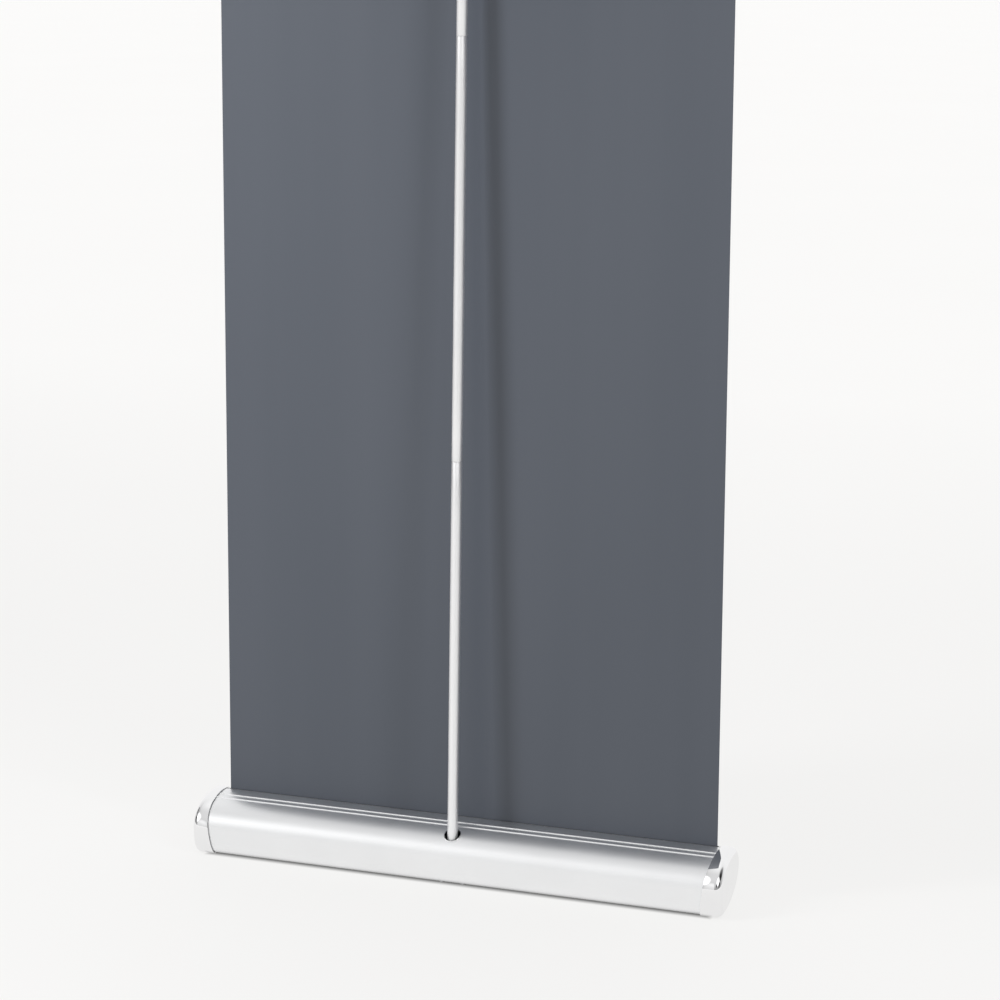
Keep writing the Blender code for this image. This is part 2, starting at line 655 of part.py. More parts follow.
def make_socket(plastic, steel):
    foot = pole_foot()
    seat = POLE_FOOT_Z - FOOT_TIP - GAP
    outer = SOCKET_BORE + SOCKET_WALL
    low = SOCKET_FOOT_Z + 0.5 * SOCKET_FOOT_THICKNESS
    cup = [(SOCKET_STEM, low), (SOCKET_STEM, seat - 2.0 * SOCKET_FLOOR), (outer, seat - SOCKET_FLOOR),
           (outer, seat + SOCKET_DEPTH), (SOCKET_BORE, seat + SOCKET_DEPTH), (SOCKET_BORE, seat)]
    socket = piece("pole_socket", turned(cup), plastic, (0.0, foot.y, 0.0))
    half_length, half_width = SOCKET_FOOT_LENGTH / 2.0, SOCKET_FOOT_WIDTH / 2.0
    outline = rounded_box((-half_length, BOTTOM_Y - half_width), (half_length, BOTTOM_Y + half_width), 0.004)
    outline = [(x, y - foot.y) for x, y in outline]
    join(socket, prism(outline, SOCKET_FOOT_Z, SOCKET_FOOT_Z + SOCKET_FOOT_THICKNESS, "Z"), (0.0, foot.y, 0.0))
    for word, side in SIDES:
        x = side * SOCKET_SCREW_X
        hole = rod(SCREW_HOLE, 0.0, SOCKET_FOOT_Z + 2.0 * SOCKET_FOOT_THICKNESS, steps=SCREW_STEPS)
        cut(socket, hole, (x, BOTTOM_Y, 0.0))
        head_top = BOTTOM_Z - GAP
        profile = [(0.6 * SCREW_HEAD_RADIUS, head_top - SCREW_HEAD_HEIGHT),
                   (SCREW_HEAD_RADIUS, head_top - 0.55 * SCREW_HEAD_HEIGHT), (SCREW_HEAD_RADIUS, head_top),
                   (SCREW_RADIUS, head_top), (SCREW_RADIUS, head_top + SOCKET_SCREW_REACH)]
        piece(f"socket_screw_{word}", turned(profile, steps=SCREW_STEPS), steel, (x, BOTTOM_Y, 0.0))


# ---------------------------------------------------------------- pole

def make_pole(root, aluminium, steel, plastic, cord):
    """Three tubes that plug together over ferrules; each upper tube's empty is at its lower end."""
    foot = pole_foot()
    lower = empty("pole_lower_axis", foot, POLE_LEAN, root)
    middle = empty("pole_middle_axis", (0.0, 0.0, SECTION_LENGTH), parent=lower)
    upper = empty("pole_upper_axis", (0.0, 0.0, SECTION_LENGTH), parent=middle)
    bore = POLE_RADIUS - POLE_WALL
    tube_top = SECTION_LENGTH - GAP
    for word, parent in (("lower", lower), ("middle", middle), ("upper", upper)):
        piece(f"pole_tube_{word}", pipe(bore, POLE_RADIUS, 0.0, tube_top), aluminium, parent=parent)

    ferrule_top = SECTION_LENGTH + FERRULE_STANDS_OUT
    ferrule_low = ferrule_top - FERRULE_LENGTH
    outer = bore - GAP
    for word, parent in (("lower", lower), ("upper", middle)):
        tube = pipe(outer - FERRULE_WALL, outer, ferrule_low, ferrule_top)
        piece(f"pole_ferrule_{word}", tube, steel, parent=parent)

    plug = [(outer, PLUG_DEPTH), (outer, -GAP), (POLE_RADIUS, -GAP), (POLE_RADIUS, -0.5 * FOOT_TIP),
            (0.92 * POLE_RADIUS, -0.8 * FOOT_TIP), (0.7 * POLE_RADIUS, -FOOT_TIP)]
    piece("pole_foot_plug", turned(plug), plastic, parent=lower)

    low, high = PLUG_DEPTH + GAP, SECTION_LENGTH + ferrule_low - GAP
    piece("bungee_cord_lower", rod(BUNGEE_RADIUS, low, high, steps=10), cord, parent=lower)
    low, high = ferrule_low, 2.0 * SECTION_LENGTH - PLUG_DEPTH - GAP - GAP
    piece("bungee_cord_upper", rod(BUNGEE_RADIUS, low, high, steps=10), cord, parent=middle)
    make_pole_head(upper, tube_top, outer, plastic)


def make_pole_head(parent, tube_top, plug_radius, plastic):
    """A plug with a collar and a flat blade that stands between the ears of the rail's yoke."""
    collar = tube_top + GAP + HEAD_COLLAR
    profile = [(plug_radius, tube_top - PLUG_DEPTH), (plug_radius, tube_top + GAP),
               (POLE_RADIUS, tube_top + GAP), (POLE_RADIUS, collar - 0.001), (POLE_RADIUS - 0.001, collar)]
    head = piece("pole_head", turned(profile), plastic, parent=parent)
    half = BLADE_DEPTH / 2.0
    blade_low = -0.3 * HEAD_COLLAR
    outline = [(-half, blade_low), (half, blade_low), (half, 0.8 * BLADE_HEIGHT), (0.6 * half, BLADE_HEIGHT),
               (-0.6 * half, BLADE_HEIGHT), (-half, 0.8 * BLADE_HEIGHT)]
    blade = prism([(y, collar + z) for y, z in outline], -BLADE_THICKNESS / 2.0, BLADE_THICKNESS / 2.0)
    # The blade joins on while both are in the stand's frame, before the head takes its own parent.
    head.parent = stand()
    join(head, blade)
    head.parent = parent


# ---------------------------------------------------------------- feet

def make_pads(rubber):
    top = outline_point(place_at(2, PAD_Y + PAD_RADIUS)).y - GAP
    for word, x in PAD_PLACES:
        piece(f"rear_pad_{word}", rod(PAD_RADIUS, 0.0, top, steps=16), rubber, (x, PAD_Y, 0.0))


def make_foot(word, side, root, steel, plastic, rubber):
    """A flat arm that swings out from under the housing, its pivot bolt and the bracket that carries it."""
    pivot = (side * FOOT_PIVOT_X, FOOT_PIVOT_Y, 0.0)
    axis = empty(f"foot_{word}_axis", pivot, parent=root)

    under = [place_at(2, y) for y in (FOOT_PIVOT_Y + BRACKET_BACK, FOOT_PIVOT_Y - BRACKET_FRONT)]
    steps = [under[0] + (under[1] - under[0]) * step / BRACKET_STEPS for step in range(BRACKET_STEPS + 1)]
    curve = [tuple(offset_point(place, GAP)) for place in steps]
    low = FOOT_TOP + GAP
    outline = [(curve[0][0], low)] + curve + [(curve[-1][0], low)]
    outline = [(y - FOOT_PIVOT_Y, z) for y, z in outline]
    bracket = piece(f"foot_bracket_{word}", prism(outline, -BRACKET_LENGTH / 2.0, BRACKET_LENGTH / 2.0),
                    plastic, pivot)
    cut(bracket, rod(PIVOT_RADIUS + GAP, 0.0, low + PIVOT_REACH + GAP), pivot)

    half = FOOT_WIDTH / 2.0
    end = -(FOOT_REACH - half)
    outline = arc((0.0, 0.0), half, 0.0, 180.0, 10) + arc((0.0, end), half, 180.0, 360.0, 10)
    arm = piece(f"foot_arm_{word}", prism(outline, FOOT_BOTTOM, FOOT_TOP, "Z"), steel)
    cut(arm, rod(PIVOT_RADIUS + TURNING_GAP, 0.0, FOOT_TOP + GAP))
    cut(arm, rod(PIVOT_HEAD_RADIUS + TURNING_GAP, 0.0, FOOT_BOTTOM + PIVOT_HEAD_HEIGHT + 2.0 * GAP))
    arm.parent = axis

    head = FOOT_BOTTOM + GAP
    profile = [(0.8 * PIVOT_HEAD_RADIUS, head), (PIVOT_HEAD_RADIUS, head + 0.3 * PIVOT_HEAD_HEIGHT),
               (PIVOT_HEAD_RADIUS, head + PIVOT_HEAD_HEIGHT), (PIVOT_RADIUS, head + PIVOT_HEAD_HEIGHT),
               (PIVOT_RADIUS, low + PIVOT_REACH)]
    piece(f"foot_pivot_bolt_{word}", turned(profile), steel, pivot)
    tip = (0.0, end - half + TIP_PAD_INSET, 0.0)
    piece(f"foot_tip_pad_{word}", rod(TIP_PAD_RADIUS, 0.0, FOOT_BOTTOM - GAP, steps=16), rubber, tip, axis)


# ---------------------------------------------------------------- top rail

def make_rail(aluminium, plastic):
    low, top, half = RAIL_BOTTOM, RAIL_TOP, HALF_RAIL
    rail = empty("rail_slide", (0.0, 0.0, low))
    face = HALF_FILM + GAP
    flange = top - RAIL_TOP_WALL
    lip = RAIL_REAR - RAIL_WALL
    rear = [(face, low), (face + RAIL_WALL, low), (face + RAIL_WALL, flange), (lip, flange),
            (lip, top - RAIL_LIP_DROP), (RAIL_REAR, top - RAIL_LIP_DROP), (RAIL_REAR, top - LIP_ROUND),
            (RAIL_REAR - LIP_ROUND, top), (RAIL_FLANGE_FRONT + LIP_ROUND, top), (RAIL_FLANGE_FRONT, top - LIP_ROUND),
            (RAIL_FLANGE_FRONT, flange), (face, flange)]
    rear = [(y, z - low) for y, z in rear]
    piece("rail_rear_jaw", prism(rear, -half, half), aluminium, parent=rail)

    for word, side in SIDES:
        outline = rounded_box((-0.0108, -RAIL_CAP_MARGIN), (RAIL_REAR + RAIL_CAP_MARGIN, RAIL_HEIGHT + RAIL_CAP_MARGIN),
                              0.0045)
        near = side * (half + GAP)
        piece(f"rail_cap_{word}", prism(outline, near, near + side * RAIL_CAP_THICKNESS), plastic, parent=rail)

    back = RAIL_REAR + GAP
    outer = YOKE_GAP + YOKE_EAR
    outline = [(-outer, back), (outer, back), (outer, back + YOKE_REACH), (YOKE_GAP, back + YOKE_REACH),
               (YOKE_GAP, back + YOKE_PLATE), (-YOKE_GAP, back + YOKE_PLATE), (-YOKE_GAP, back + YOKE_REACH),
               (-outer, back + YOKE_REACH)]
    yoke_top = RAIL_HEIGHT - YOKE_DROP
    piece("pole_yoke", prism(outline, yoke_top - YOKE_HEIGHT, yoke_top, "Z"), plastic, parent=rail)
    make_front_jaw(rail, aluminium)


def make_front_jaw(rail, aluminium):
    """The hinged front jaw: a bead under the rail's top flange, a curved plate and a gripping edge."""
    bead_z = RAIL_HEIGHT - RAIL_TOP_WALL - GAP - BEAD_RADIUS
    axis = empty("rail_jaw_axis", (0.0, BEAD_Y, bead_z), parent=rail)
    foot_z = -bead_z
    grip = -HALF_FILM - GAP - BEAD_Y
    start = Vector((-BEAD_RADIUS, 0.0))
    bulge = Vector((-JAW_BULGE - BEAD_Y, 0.55 * foot_z))
    end = Vector((-JAW_FOOT_Y - BEAD_Y, foot_z))

    def plate(share):
        return start.lerp(bulge, share).lerp(bulge.lerp(end, share), share)

    shares = [step / 10.0 for step in range(11)]
    outer = [tuple(plate(share)) for share in shares]
    inner = [tuple(plate(share) + Vector((JAW_WALL, 0.0))) for share in shares[2:-1]]
    outline = arc((0.0, 0.0), BEAD_RADIUS, -90.0, 160.0, 10) + outer
    outline += [(grip, foot_z), (grip, foot_z + 0.0030)] + inner[::-1]
    piece("rail_front_jaw", prism(outline, -HALF_RAIL, HALF_RAIL), aluminium, parent=axis)


# ---------------------------------------------------------------- assembly

def build():
    clear_scene()
    aluminium = finish("satin_aluminium", (0.78, 0.78, 0.79), 0.32, 1.0)
    chrome = finish("chrome_plate", (0.86, 0.86, 0.87), 0.06, 1.0)
    pole_metal = finish("pole_aluminium", (0.86, 0.86, 0.87), 0.38, 1.0)
    steel = finish("zinc_steel", (0.62, 0.63, 0.64), 0.35, 1.0)
    foot_metal = finish("foot_steel", (0.55, 0.56, 0.57), 0.45, 1.0)
    plastic = finish("black_plastic", (0.03, 0.03, 0.03), 0.5)
    rubber = finish("black_rubber", (0.02, 0.02, 0.02), 0.8)
    film = finish("grey_back_film", (0.075, 0.09, 0.11), 0.45)
    pile = finish("grey_pile", (0.10, 0.10, 0.11), 0.9)
    cord = finish("elastic_cord", (0.04, 0.04, 0.04), 0.8)

    base = stand()
    make_housing(aluminium)
    for word, side in SIDES:
        make_end_plate(f"end_plate_{word}", side, plastic)
        make_plate_screws(word, side, steel)
        make_end_cap(f"end_cap_{word}", side, chrome)
        make_foot(word, side, base, foot_metal, plastic, rubber)
    make_pads(rubber)
    make_brushes(pile)
    make_grommet(chrome)
    make_socket(plastic, steel)

    make_shaft(steel)
    make_idler_pin(steel)
    anchor_low = make_anchor(steel)
    roller = empty("roller_axis", (0.0, ROLLER_Y, ROLLER_Z), parent=base)
    make_roller(roller, aluminium, plastic, steel, film, anchor_low)
    make_films(film)

    make_pole(base, pole_metal, steel, plastic, cord)
    make_rail(aluminium, plastic)


build()
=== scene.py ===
"""The roll-up banner stand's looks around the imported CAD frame: surfaces, materials, light and camera."""

import json
import math

import bmesh
import bpy
from mathutils import Matrix, Vector, noise


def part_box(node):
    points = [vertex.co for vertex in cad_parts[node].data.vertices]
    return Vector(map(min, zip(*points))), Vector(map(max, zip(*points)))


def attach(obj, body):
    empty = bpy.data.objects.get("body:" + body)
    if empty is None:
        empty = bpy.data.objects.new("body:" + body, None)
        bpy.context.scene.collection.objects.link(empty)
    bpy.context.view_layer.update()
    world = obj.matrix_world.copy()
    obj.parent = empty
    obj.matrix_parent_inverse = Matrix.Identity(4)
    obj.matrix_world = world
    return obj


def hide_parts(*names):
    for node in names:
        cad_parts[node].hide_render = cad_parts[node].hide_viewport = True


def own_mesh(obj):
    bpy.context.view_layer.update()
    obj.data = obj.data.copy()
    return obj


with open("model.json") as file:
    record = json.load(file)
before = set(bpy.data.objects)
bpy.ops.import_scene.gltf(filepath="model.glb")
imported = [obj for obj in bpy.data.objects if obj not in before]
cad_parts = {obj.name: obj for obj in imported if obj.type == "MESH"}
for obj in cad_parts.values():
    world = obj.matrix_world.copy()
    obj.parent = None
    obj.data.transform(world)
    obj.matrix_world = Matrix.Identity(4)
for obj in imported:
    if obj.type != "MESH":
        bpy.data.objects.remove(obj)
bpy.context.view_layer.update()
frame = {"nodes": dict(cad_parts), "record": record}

# ---------------------------------------------------------------- sizes, in metres, from the CAD

SIDES = (("left", -1.0), ("right", 1.0))
GAP = 0.0003                    # between pieces that touch on the real object


def low(node):
    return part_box(node)[0]


def high(node):
    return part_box(node)[1]


PLANE_Y = (low("graphic_panel").y + high("graphic_panel").y) / 2.0      # the graphic's plane
HALF_GRAPHIC = high("graphic_panel").x
HALF_HOUSING = high("base_housing").x
CAP_FACE = high("end_cap_right").x
FILM = 0.0004                   # the graphic's thickness

# The housing's outline, y from the graphic's plane: four superelliptic quarters, each
# (centre y, centre z, reach y, reach z, starts upright, power)
TOP_Y, TOP_Z = 0.002, 0.094
REAR_Y, REAR_Z = 0.0845, 0.044
BOTTOM_Y, BOTTOM_Z = 0.064, 0.003
FRONT_Y, FRONT_Z = -0.021, 0.066
QUARTERS = (
    (TOP_Y, REAR_Z, REAR_Y - TOP_Y, TOP_Z - REAR_Z, True, 2.2),
    (BOTTOM_Y, REAR_Z, REAR_Y - BOTTOM_Y, BOTTOM_Z - REAR_Z, False, 2.4),
    (BOTTOM_Y, FRONT_Z, FRONT_Y - BOTTOM_Y, BOTTOM_Z - FRONT_Z, True, 1.85),
    (TOP_Y, FRONT_Z, FRONT_Y - TOP_Y, TOP_Z - FRONT_Z, False, 2.0),
)
WALL = 0.0020
HALF_SLOT = 0.0028
LIP_DEPTH = 0.0075
LIP_ROUND = 0.0008
RIB_PLACES = (0.029, 0.0405)
RIB_WIDTH = 0.0026
RIB_HEIGHT = 0.0014
FINE = 48                       # outline steps in each quarter
HOUSING_STATIONS = (0.40, 0.20, 0.05, 0.02)     # cross-sections on each side of the middle
POLE_HOLE_RADIUS = 0.0141
POLE_HOLE_REACH = 0.006
SOCKET_SCREW_X = 0.018
SOCKET_SCREW_HOLE = 0.0020

CAP_WALL = 0.0020
CAP_SEAM = 0.4203
CAP_SEAM_SLOPE = 0.126
CAP_ROUND = 0.0127
CAP_INSIDE = 0.4 * GAP          # the shell's inner skin, above the housing's surface
SEAM_UNDERCUT = 0.0016          # a recess under the cap's lip, which reads as a dark seam

POLE_LEAN = math.radians(1.291)
POLE_HOLE_Y = 0.062
POLE_RADIUS = 0.0085
POLE_BORE = 0.0073
POLE_FOOT_Z = 0.029
SECTION = 0.661
FERRULE_PAST_JOINT = 0.040
FERRULE_LENGTH = 0.085
TUBE_SOFT = 0.00035             # the rounding of the tubes' ends

SHARP = 35.0                    # edges sharper than this many degrees stay sharp


# ---------------------------------------------------------------- mesh helpers

def add(name, mesh, material, body, replaces, smooth=SHARP):
    """Makes a bmesh into a named piece that rides on a body and stands for CAD nodes."""
    bmesh.ops.recalc_face_normals(mesh, faces=mesh.faces)
    data = bpy.data.meshes.new(name)
    mesh.to_mesh(data)
    mesh.free()
    made = bpy.data.objects.new(name, data)
    bpy.context.scene.collection.objects.link(made)
    for each in material if isinstance(material, (list, tuple)) else (material,):
        data.materials.append(each)
    data.shade_smooth()
    data.set_sharp_from_angle(angle=math.radians(smooth))
    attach(made, body)
    if replaces:
        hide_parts(*replaces)
    return made


def bridge(rings, looped=False):
    """Joins rings of points; looped joins the last to the first, otherwise both ends are closed."""
    mesh = bmesh.new()
    rows = [[mesh.verts.new(point) for point in ring] for ring in rings]
    pairs = list(zip(rows, rows[1:]))
    if looped:
        pairs.append((rows[-1], rows[0]))
    else:
        mesh.faces.new(rows[0])
        mesh.faces.new(rows[-1])
    for near, far in pairs:
        for i in range(len(near)):
            j = (i + 1) % len(near)
            mesh.faces.new((near[i], near[j], far[j], far[i]))
    return mesh


def circle(radius, height, steps):
    turns = [2.0 * math.pi * step / steps for step in range(steps)]
    return [Vector((radius * math.cos(turn), radius * math.sin(turn), height)) for turn in turns]


def turned(profile, looped=False, steps=64):
    """Turns a profile of (radius, height) points about Z."""
    return bridge([circle(radius, height, steps) for radius, height in profile], looped)


def prism(outline, start, stop, axis="X"):
    """Extrudes a closed outline: (y, z) points along X, or (x, y) points along Z."""
    if axis == "X":
        return bridge([[(x, y, z) for y, z in outline] for x in (start, stop)])
    return bridge([[(x, y, z) for x, y in outline] for z in (start, stop)])


def arc(centre, radius, start, stop, steps):
    points = []
    for step in range(steps + 1):
        angle = math.radians(start + (stop - start) * step / steps)
        points.append((centre[0] + radius * math.cos(angle), centre[1] + radius * math.sin(angle)))
    return points


def rounded_box(corner, opposite, radius, steps):
    (x0, y0), (x1, y1) = corner, opposite
    centres = (((x1 - radius, y1 - radius), 0.0), ((x0 + radius, y1 - radius), 90.0),
               ((x0 + radius, y0 + radius), 180.0), ((x1 - radius, y0 + radius), 270.0))
    points = []
    for centre, start in centres:
        points += arc(centre, radius, start, start + 90.0, steps)
    return points


def moved(mesh, place, lean=0.0):
    mesh.transform(Matrix.Translation(place) @ Matrix.Rotation(lean, 4, "X"))
    return mesh


def soften(piece, width):
    """Rounds a piece's edges with a bevel."""
    bevel = piece.modifiers.new("edge_round", "BEVEL")
    bevel.width = width
    bevel.segments = 3
    bevel.limit_method = "ANGLE"
    bevel.angle_limit = math.radians(30.0)
    bevel.harden_normals = True


def cut(piece, mesh):
    """Cuts a solid out of a piece at once."""
    data = bpy.data.meshes.new("cutter")
    bmesh.ops.recalc_face_normals(mesh, faces=mesh.faces)
    mesh.to_mesh(data)
    mesh.free()
    cutter = bpy.data.objects.new("cutter", data)
    bpy.context.scene.collection.objects.link(cutter)
    hole = piece.modifiers.new("hole", "BOOLEAN")
    hole.operation = "DIFFERENCE"
    hole.solver = "EXACT"
    hole.object = cutter
    bpy.context.view_layer.update()
    evaluated = piece.evaluated_get(bpy.context.evaluated_depsgraph_get())
    piece.data = bpy.data.meshes.new_from_object(evaluated)
    piece.modifiers.clear()
    bpy.data.objects.remove(cutter, do_unlink=True)
    piece.data.set_sharp_from_angle(angle=math.radians(SHARP))


# ---------------------------------------------------------------- the housing's outline

def outline_point(place):
    """A point (y, z) of the outline at a place from 0 (top) through 1 (rear), 2 (bottom), 3 (front) to 4."""
    quarter = min(3, int(place))
    centre_y, centre_z, reach_y, reach_z, upright, power = QUARTERS[quarter]
    turn = (place - quarter) * math.pi / 2.0
    sideways, upward = max(0.0, math.sin(turn)), max(0.0, math.cos(turn))
    if not upright:
        sideways, upward = upward, sideways
    return Vector((PLANE_Y + centre_y + reach_y * sideways ** (2.0 / power),
                   centre_z + reach_z * upward ** (2.0 / power)))


def outline_normal(place):
    step = 0.001
    along = (outline_point((place + step) % 4.0) - outline_point((place - step) % 4.0)).normalized()
    return Vector((-along.y, along.x))


def offset_point(place, offset):
    return outline_point(place) + outline_normal(place) * offset


def place_at(quarter, y):
    """The place in a quarter of the outline that stands y from the graphic's plane."""
    centre_y, _, reach_y, _, upright, power = QUARTERS[quarter]
    share = ((y - centre_y) / reach_y) ** (power / 2.0)
    turn = math.asin(share) if upright else math.acos(share)
    return quarter + turn * 2.0 / math.pi


def outline_ring(offset, across):
    ring = []
    for step in range(4 * FINE):
        y, z = offset_point(step / FINE, offset)
        ring.append((across(z), y, z))
    return ring


# ---------------------------------------------------------------- materials

def nodes_of(name):
    made = bpy.data.materials.new(name)
    made.use_nodes = True
    tree = made.node_tree
    return made, tree, tree.nodes["Principled BSDF"]


def link(tree, source, output, target, socket):
    tree.links.new(source.outputs[output], target.inputs[socket])


def maths(tree, operation, *values):
    """A maths node; each value is a number or a node with its output."""
    made = tree.nodes.new("ShaderNodeMath")
    made.operation = operation
    for socket, value in enumerate(values):
        if isinstance(value, tuple):
            link(tree, *value, made, socket)
        else:
            made.inputs[socket].default_value = value
    return made


EVEN = (1.0, 1.0, 1.0)
ALONG = (60.0, 1.0, 1.0)        # extrusion lines run along X
UPRIGHT = (1.0, 1.0, 60.0)      # drawing lines run along Z


def noise_node(tree, scale, detail, stretch=EVEN):
    """3-D noise in object space; scale is in features per metre, stretch divides it along an axis."""
    where = tree.nodes.new("ShaderNodeTexCoord")
    size = tree.nodes.new("ShaderNodeMapping")
    size.inputs["Scale"].default_value = [scale / each for each in stretch]
    made = tree.nodes.new("ShaderNodeTexNoise")
    made.inputs["Scale"].default_value = 1.0
    made.inputs["Detail"].default_value = detail
    link(tree, where, "Object", size, "Vector")
    link(tree, size, "Vector", made, "Vector")
    return made


def remap(tree, source, output, lowest, highest, start=0.3, stop=0.7):
    """Maps start to stop, by default where noise mostly lies, onto lowest to highest."""
    made = tree.nodes.new("ShaderNodeMapRange")
    made.inputs["From Min"].default_value = start
    made.inputs["From Max"].default_value = stop
    made.inputs["To Min"].default_value = lowest
    made.inputs["To Max"].default_value = highest
    link(tree, source, output, made, "Value")
    return made


def mix_colours(tree, factor, output, first, second):
    made = tree.nodes.new("ShaderNodeMix")
    made.data_type = "RGBA"
    made.inputs["A"].default_value = (*first, 1.0)
    made.inputs["B"].default_value = (*second, 1.0)
    link(tree, factor, output, made, "Factor")
    return made


def bump(tree, shader, height, output, strength, distance):
    made = tree.nodes.new("ShaderNodeBump")
    made.inputs["Strength"].default_value = strength
    made.inputs["Distance"].default_value = distance
    link(tree, height, output, made, "Height")
    link(tree, made, "Normal", shader, "Normal")


def surface(name, colour, vary, roughness, rough_vary, metallic, grain, stretch, depth, smudge=12.0):
    """A material with a fine grain in its relief and a broad variation in its colour and roughness.

    vary is a share of the colour, grain and smudge are features per metre, depth is the relief's in metres.
    """
    made, tree, shader = nodes_of(name)
    shader.inputs["Metallic"].default_value = metallic
    fine = noise_node(tree, grain, 3.0, stretch)
    broad = noise_node(tree, smudge, 4.0)
    darker = tuple(max(0.0, each * (1.0 - vary)) for each in colour)
    lighter = tuple(min(1.0, each * (1.0 + vary)) for each in colour)
    tint = remap(tree, broad, "Fac", 0.0, 1.0)
    blended = mix_colours(tree, tint, "Result", darker, lighter)
    link(tree, blended, "Result", shader, "Base Color")
    uneven = remap(tree, broad, "Fac", roughness - rough_vary, roughness + rough_vary)
    link(tree, uneven, "Result", shader, "Roughness")
    bump(tree, shader, fine, "Fac", 0.5, depth)
    return made


# name: (colour, vary, roughness, rough_vary, metallic, grain, stretch, depth[, smudge])
SURFACES = {
    "anodised_housing": ((0.895, 0.90, 0.908), 0.015, 0.40, 0.02, 1.0, 2600.0, ALONG, 0.00002),
    "anodised_rail": ((0.80, 0.805, 0.815), 0.02, 0.32, 0.03, 1.0, 2600.0, ALONG, 0.00002),
    "mill_aluminium": ((0.74, 0.74, 0.75), 0.05, 0.38, 0.06, 1.0, 1800.0, ALONG, 0.00003),
    "anodised_pole": ((0.95, 0.95, 0.955), 0.010, 0.50, 0.03, 1.0, 2600.0, UPRIGHT, 0.00002),
    "chrome_plate": ((0.885, 0.885, 0.89), 0.01, 0.022, 0.008, 1.0, 60.0, EVEN, 0.00002, 25.0),
    "zinc_plate": ((0.64, 0.645, 0.66), 0.08, 0.33, 0.08, 1.0, 900.0, EVEN, 0.00003, 90.0),
    "spring_steel": ((0.34, 0.34, 0.35), 0.12, 0.30, 0.08, 1.0, 1500.0, EVEN, 0.00002, 120.0),
    "foot_powder_coat": ((0.60, 0.61, 0.625), 0.04, 0.42, 0.05, 0.6, 1900.0, EVEN, 0.00006),
    "moulded_plastic": ((0.022, 0.022, 0.024), 0.15, 0.46, 0.06, 0.0, 2800.0, EVEN, 0.00005),
    "moulded_rubber": ((0.018, 0.018, 0.018), 0.25, 0.78, 0.08, 0.0, 2200.0, EVEN, 0.00008),
    "brush_pile": ((0.05, 0.052, 0.056), 0.35, 0.92, 0.04, 0.0, 5200.0, (1.0, 1.0, 14.0), 0.00020, 400.0),
    "leader_film": ((0.10, 0.112, 0.135), 0.05, 0.42, 0.04, 0.0, 1400.0, EVEN, 0.00003),
}
finish = {name: surface(name, *values) for name, values in SURFACES.items()}


def banner_back():
    """Blue-grey block-out film: a satin skin with a very fine grain and faint streaks down its length."""
    made, tree, shader = nodes_of("banner_back")
    streaks = noise_node(tree, 9.0, 3.0, (1.0, 1.0, 30.0))
    cloud = noise_node(tree, 2.2, 2.0, (1.0, 1.0, 2.5))
    grain = noise_node(tree, 1500.0, 2.0)
    both = maths(tree, "ADD", (streaks, "Fac"), (cloud, "Fac"))
    tint = remap(tree, both, "Value", 0.0, 1.0, 0.7, 1.3)
    colour = mix_colours(tree, tint, "Result", (0.045, 0.0515, 0.0645), (0.052, 0.0585, 0.072))
    link(tree, colour, "Result", shader, "Base Color")
    rough = remap(tree, grain, "Fac", 0.40, 0.50)
    link(tree, rough, "Result", shader, "Roughness")
    bump(tree, shader, grain, "Fac", 0.35, 0.00005)
    return made


def banner_front():
    """The print side: a white top coat with a faint fabric-like tooth, left unprinted."""
    made, tree, shader = nodes_of("banner_front")
    cloud = noise_node(tree, 3.0, 2.0)
    grain = noise_node(tree, 2200.0, 2.0)
    tint = remap(tree, cloud, "Fac", 0.0, 1.0)
    colour = mix_colours(tree, tint, "Result", (0.815, 0.815, 0.81), (0.835, 0.835, 0.83))
    link(tree, colour, "Result", shader, "Base Color")
    rough = remap(tree, grain, "Fac", 0.50, 0.60)
    link(tree, rough, "Result", shader, "Roughness")
    bump(tree, shader, grain, "Fac", 0.3, 0.00004)
    return made


def braid():
    """Elastic cord: a dark braid of two crossing sets of threads."""
    made, tree, shader = nodes_of("elastic_braid")
    where = tree.nodes.new("ShaderNodeTexCoord")
    threads = []
    for lean in (1.0, -1.0):
        size = tree.nodes.new("ShaderNodeMapping")
        size.inputs["Rotation"].default_value = (lean * 0.7, 0.0, 0.0)
        size.inputs["Scale"].default_value = (500.0, 500.0, 500.0)
        wave = tree.nodes.new("ShaderNodeTexWave")
        wave.bands_direction = "Z"
        wave.inputs["Scale"].default_value = 1.0
        wave.inputs["Distortion"].default_value = 0.4
        link(tree, where, "Object", size, "Vector")
        link(tree, size, "Vector", wave, "Vector")
        threads.append((wave, "Fac"))
    both = maths(tree, "MAXIMUM", *threads)
    colour = mix_colours(tree, both, "Value", (0.012, 0.012, 0.013), (0.05, 0.05, 0.052))
    link(tree, colour, "Result", shader, "Base Color")
    shader.inputs["Roughness"].default_value = 0.8
    bump(tree, shader, both, "Value", 0.6, 0.0003)
    return made


back_finish = banner_back()
front_finish = banner_front()
braid_finish = braid()

# The finish of each material slot, for the CAD nodes that stay visible.
CAD_FINISHES = {
    "satin_aluminium": finish["mill_aluminium"], "chrome_plate": finish["chrome_plate"],
    "pole_aluminium": finish["anodised_pole"], "zinc_steel": finish["zinc_plate"],
    "foot_steel": finish["foot_powder_coat"], "black_plastic": finish["moulded_plastic"],
    "black_rubber": finish["moulded_rubber"], "grey_back_film": finish["leader_film"],
    "grey_pile": finish["brush_pile"], "elastic_cord": braid_finish,
}
for part in frame["record"]["subparts"]:
    held = frame["nodes"][part["node"]].data.materials
    held.clear()
    held.append(CAD_FINISHES[part["material_slot"]])
frame["nodes"]["return_spring"].data.materials[0] = finish["spring_steel"]


# ---------------------------------------------------------------- base

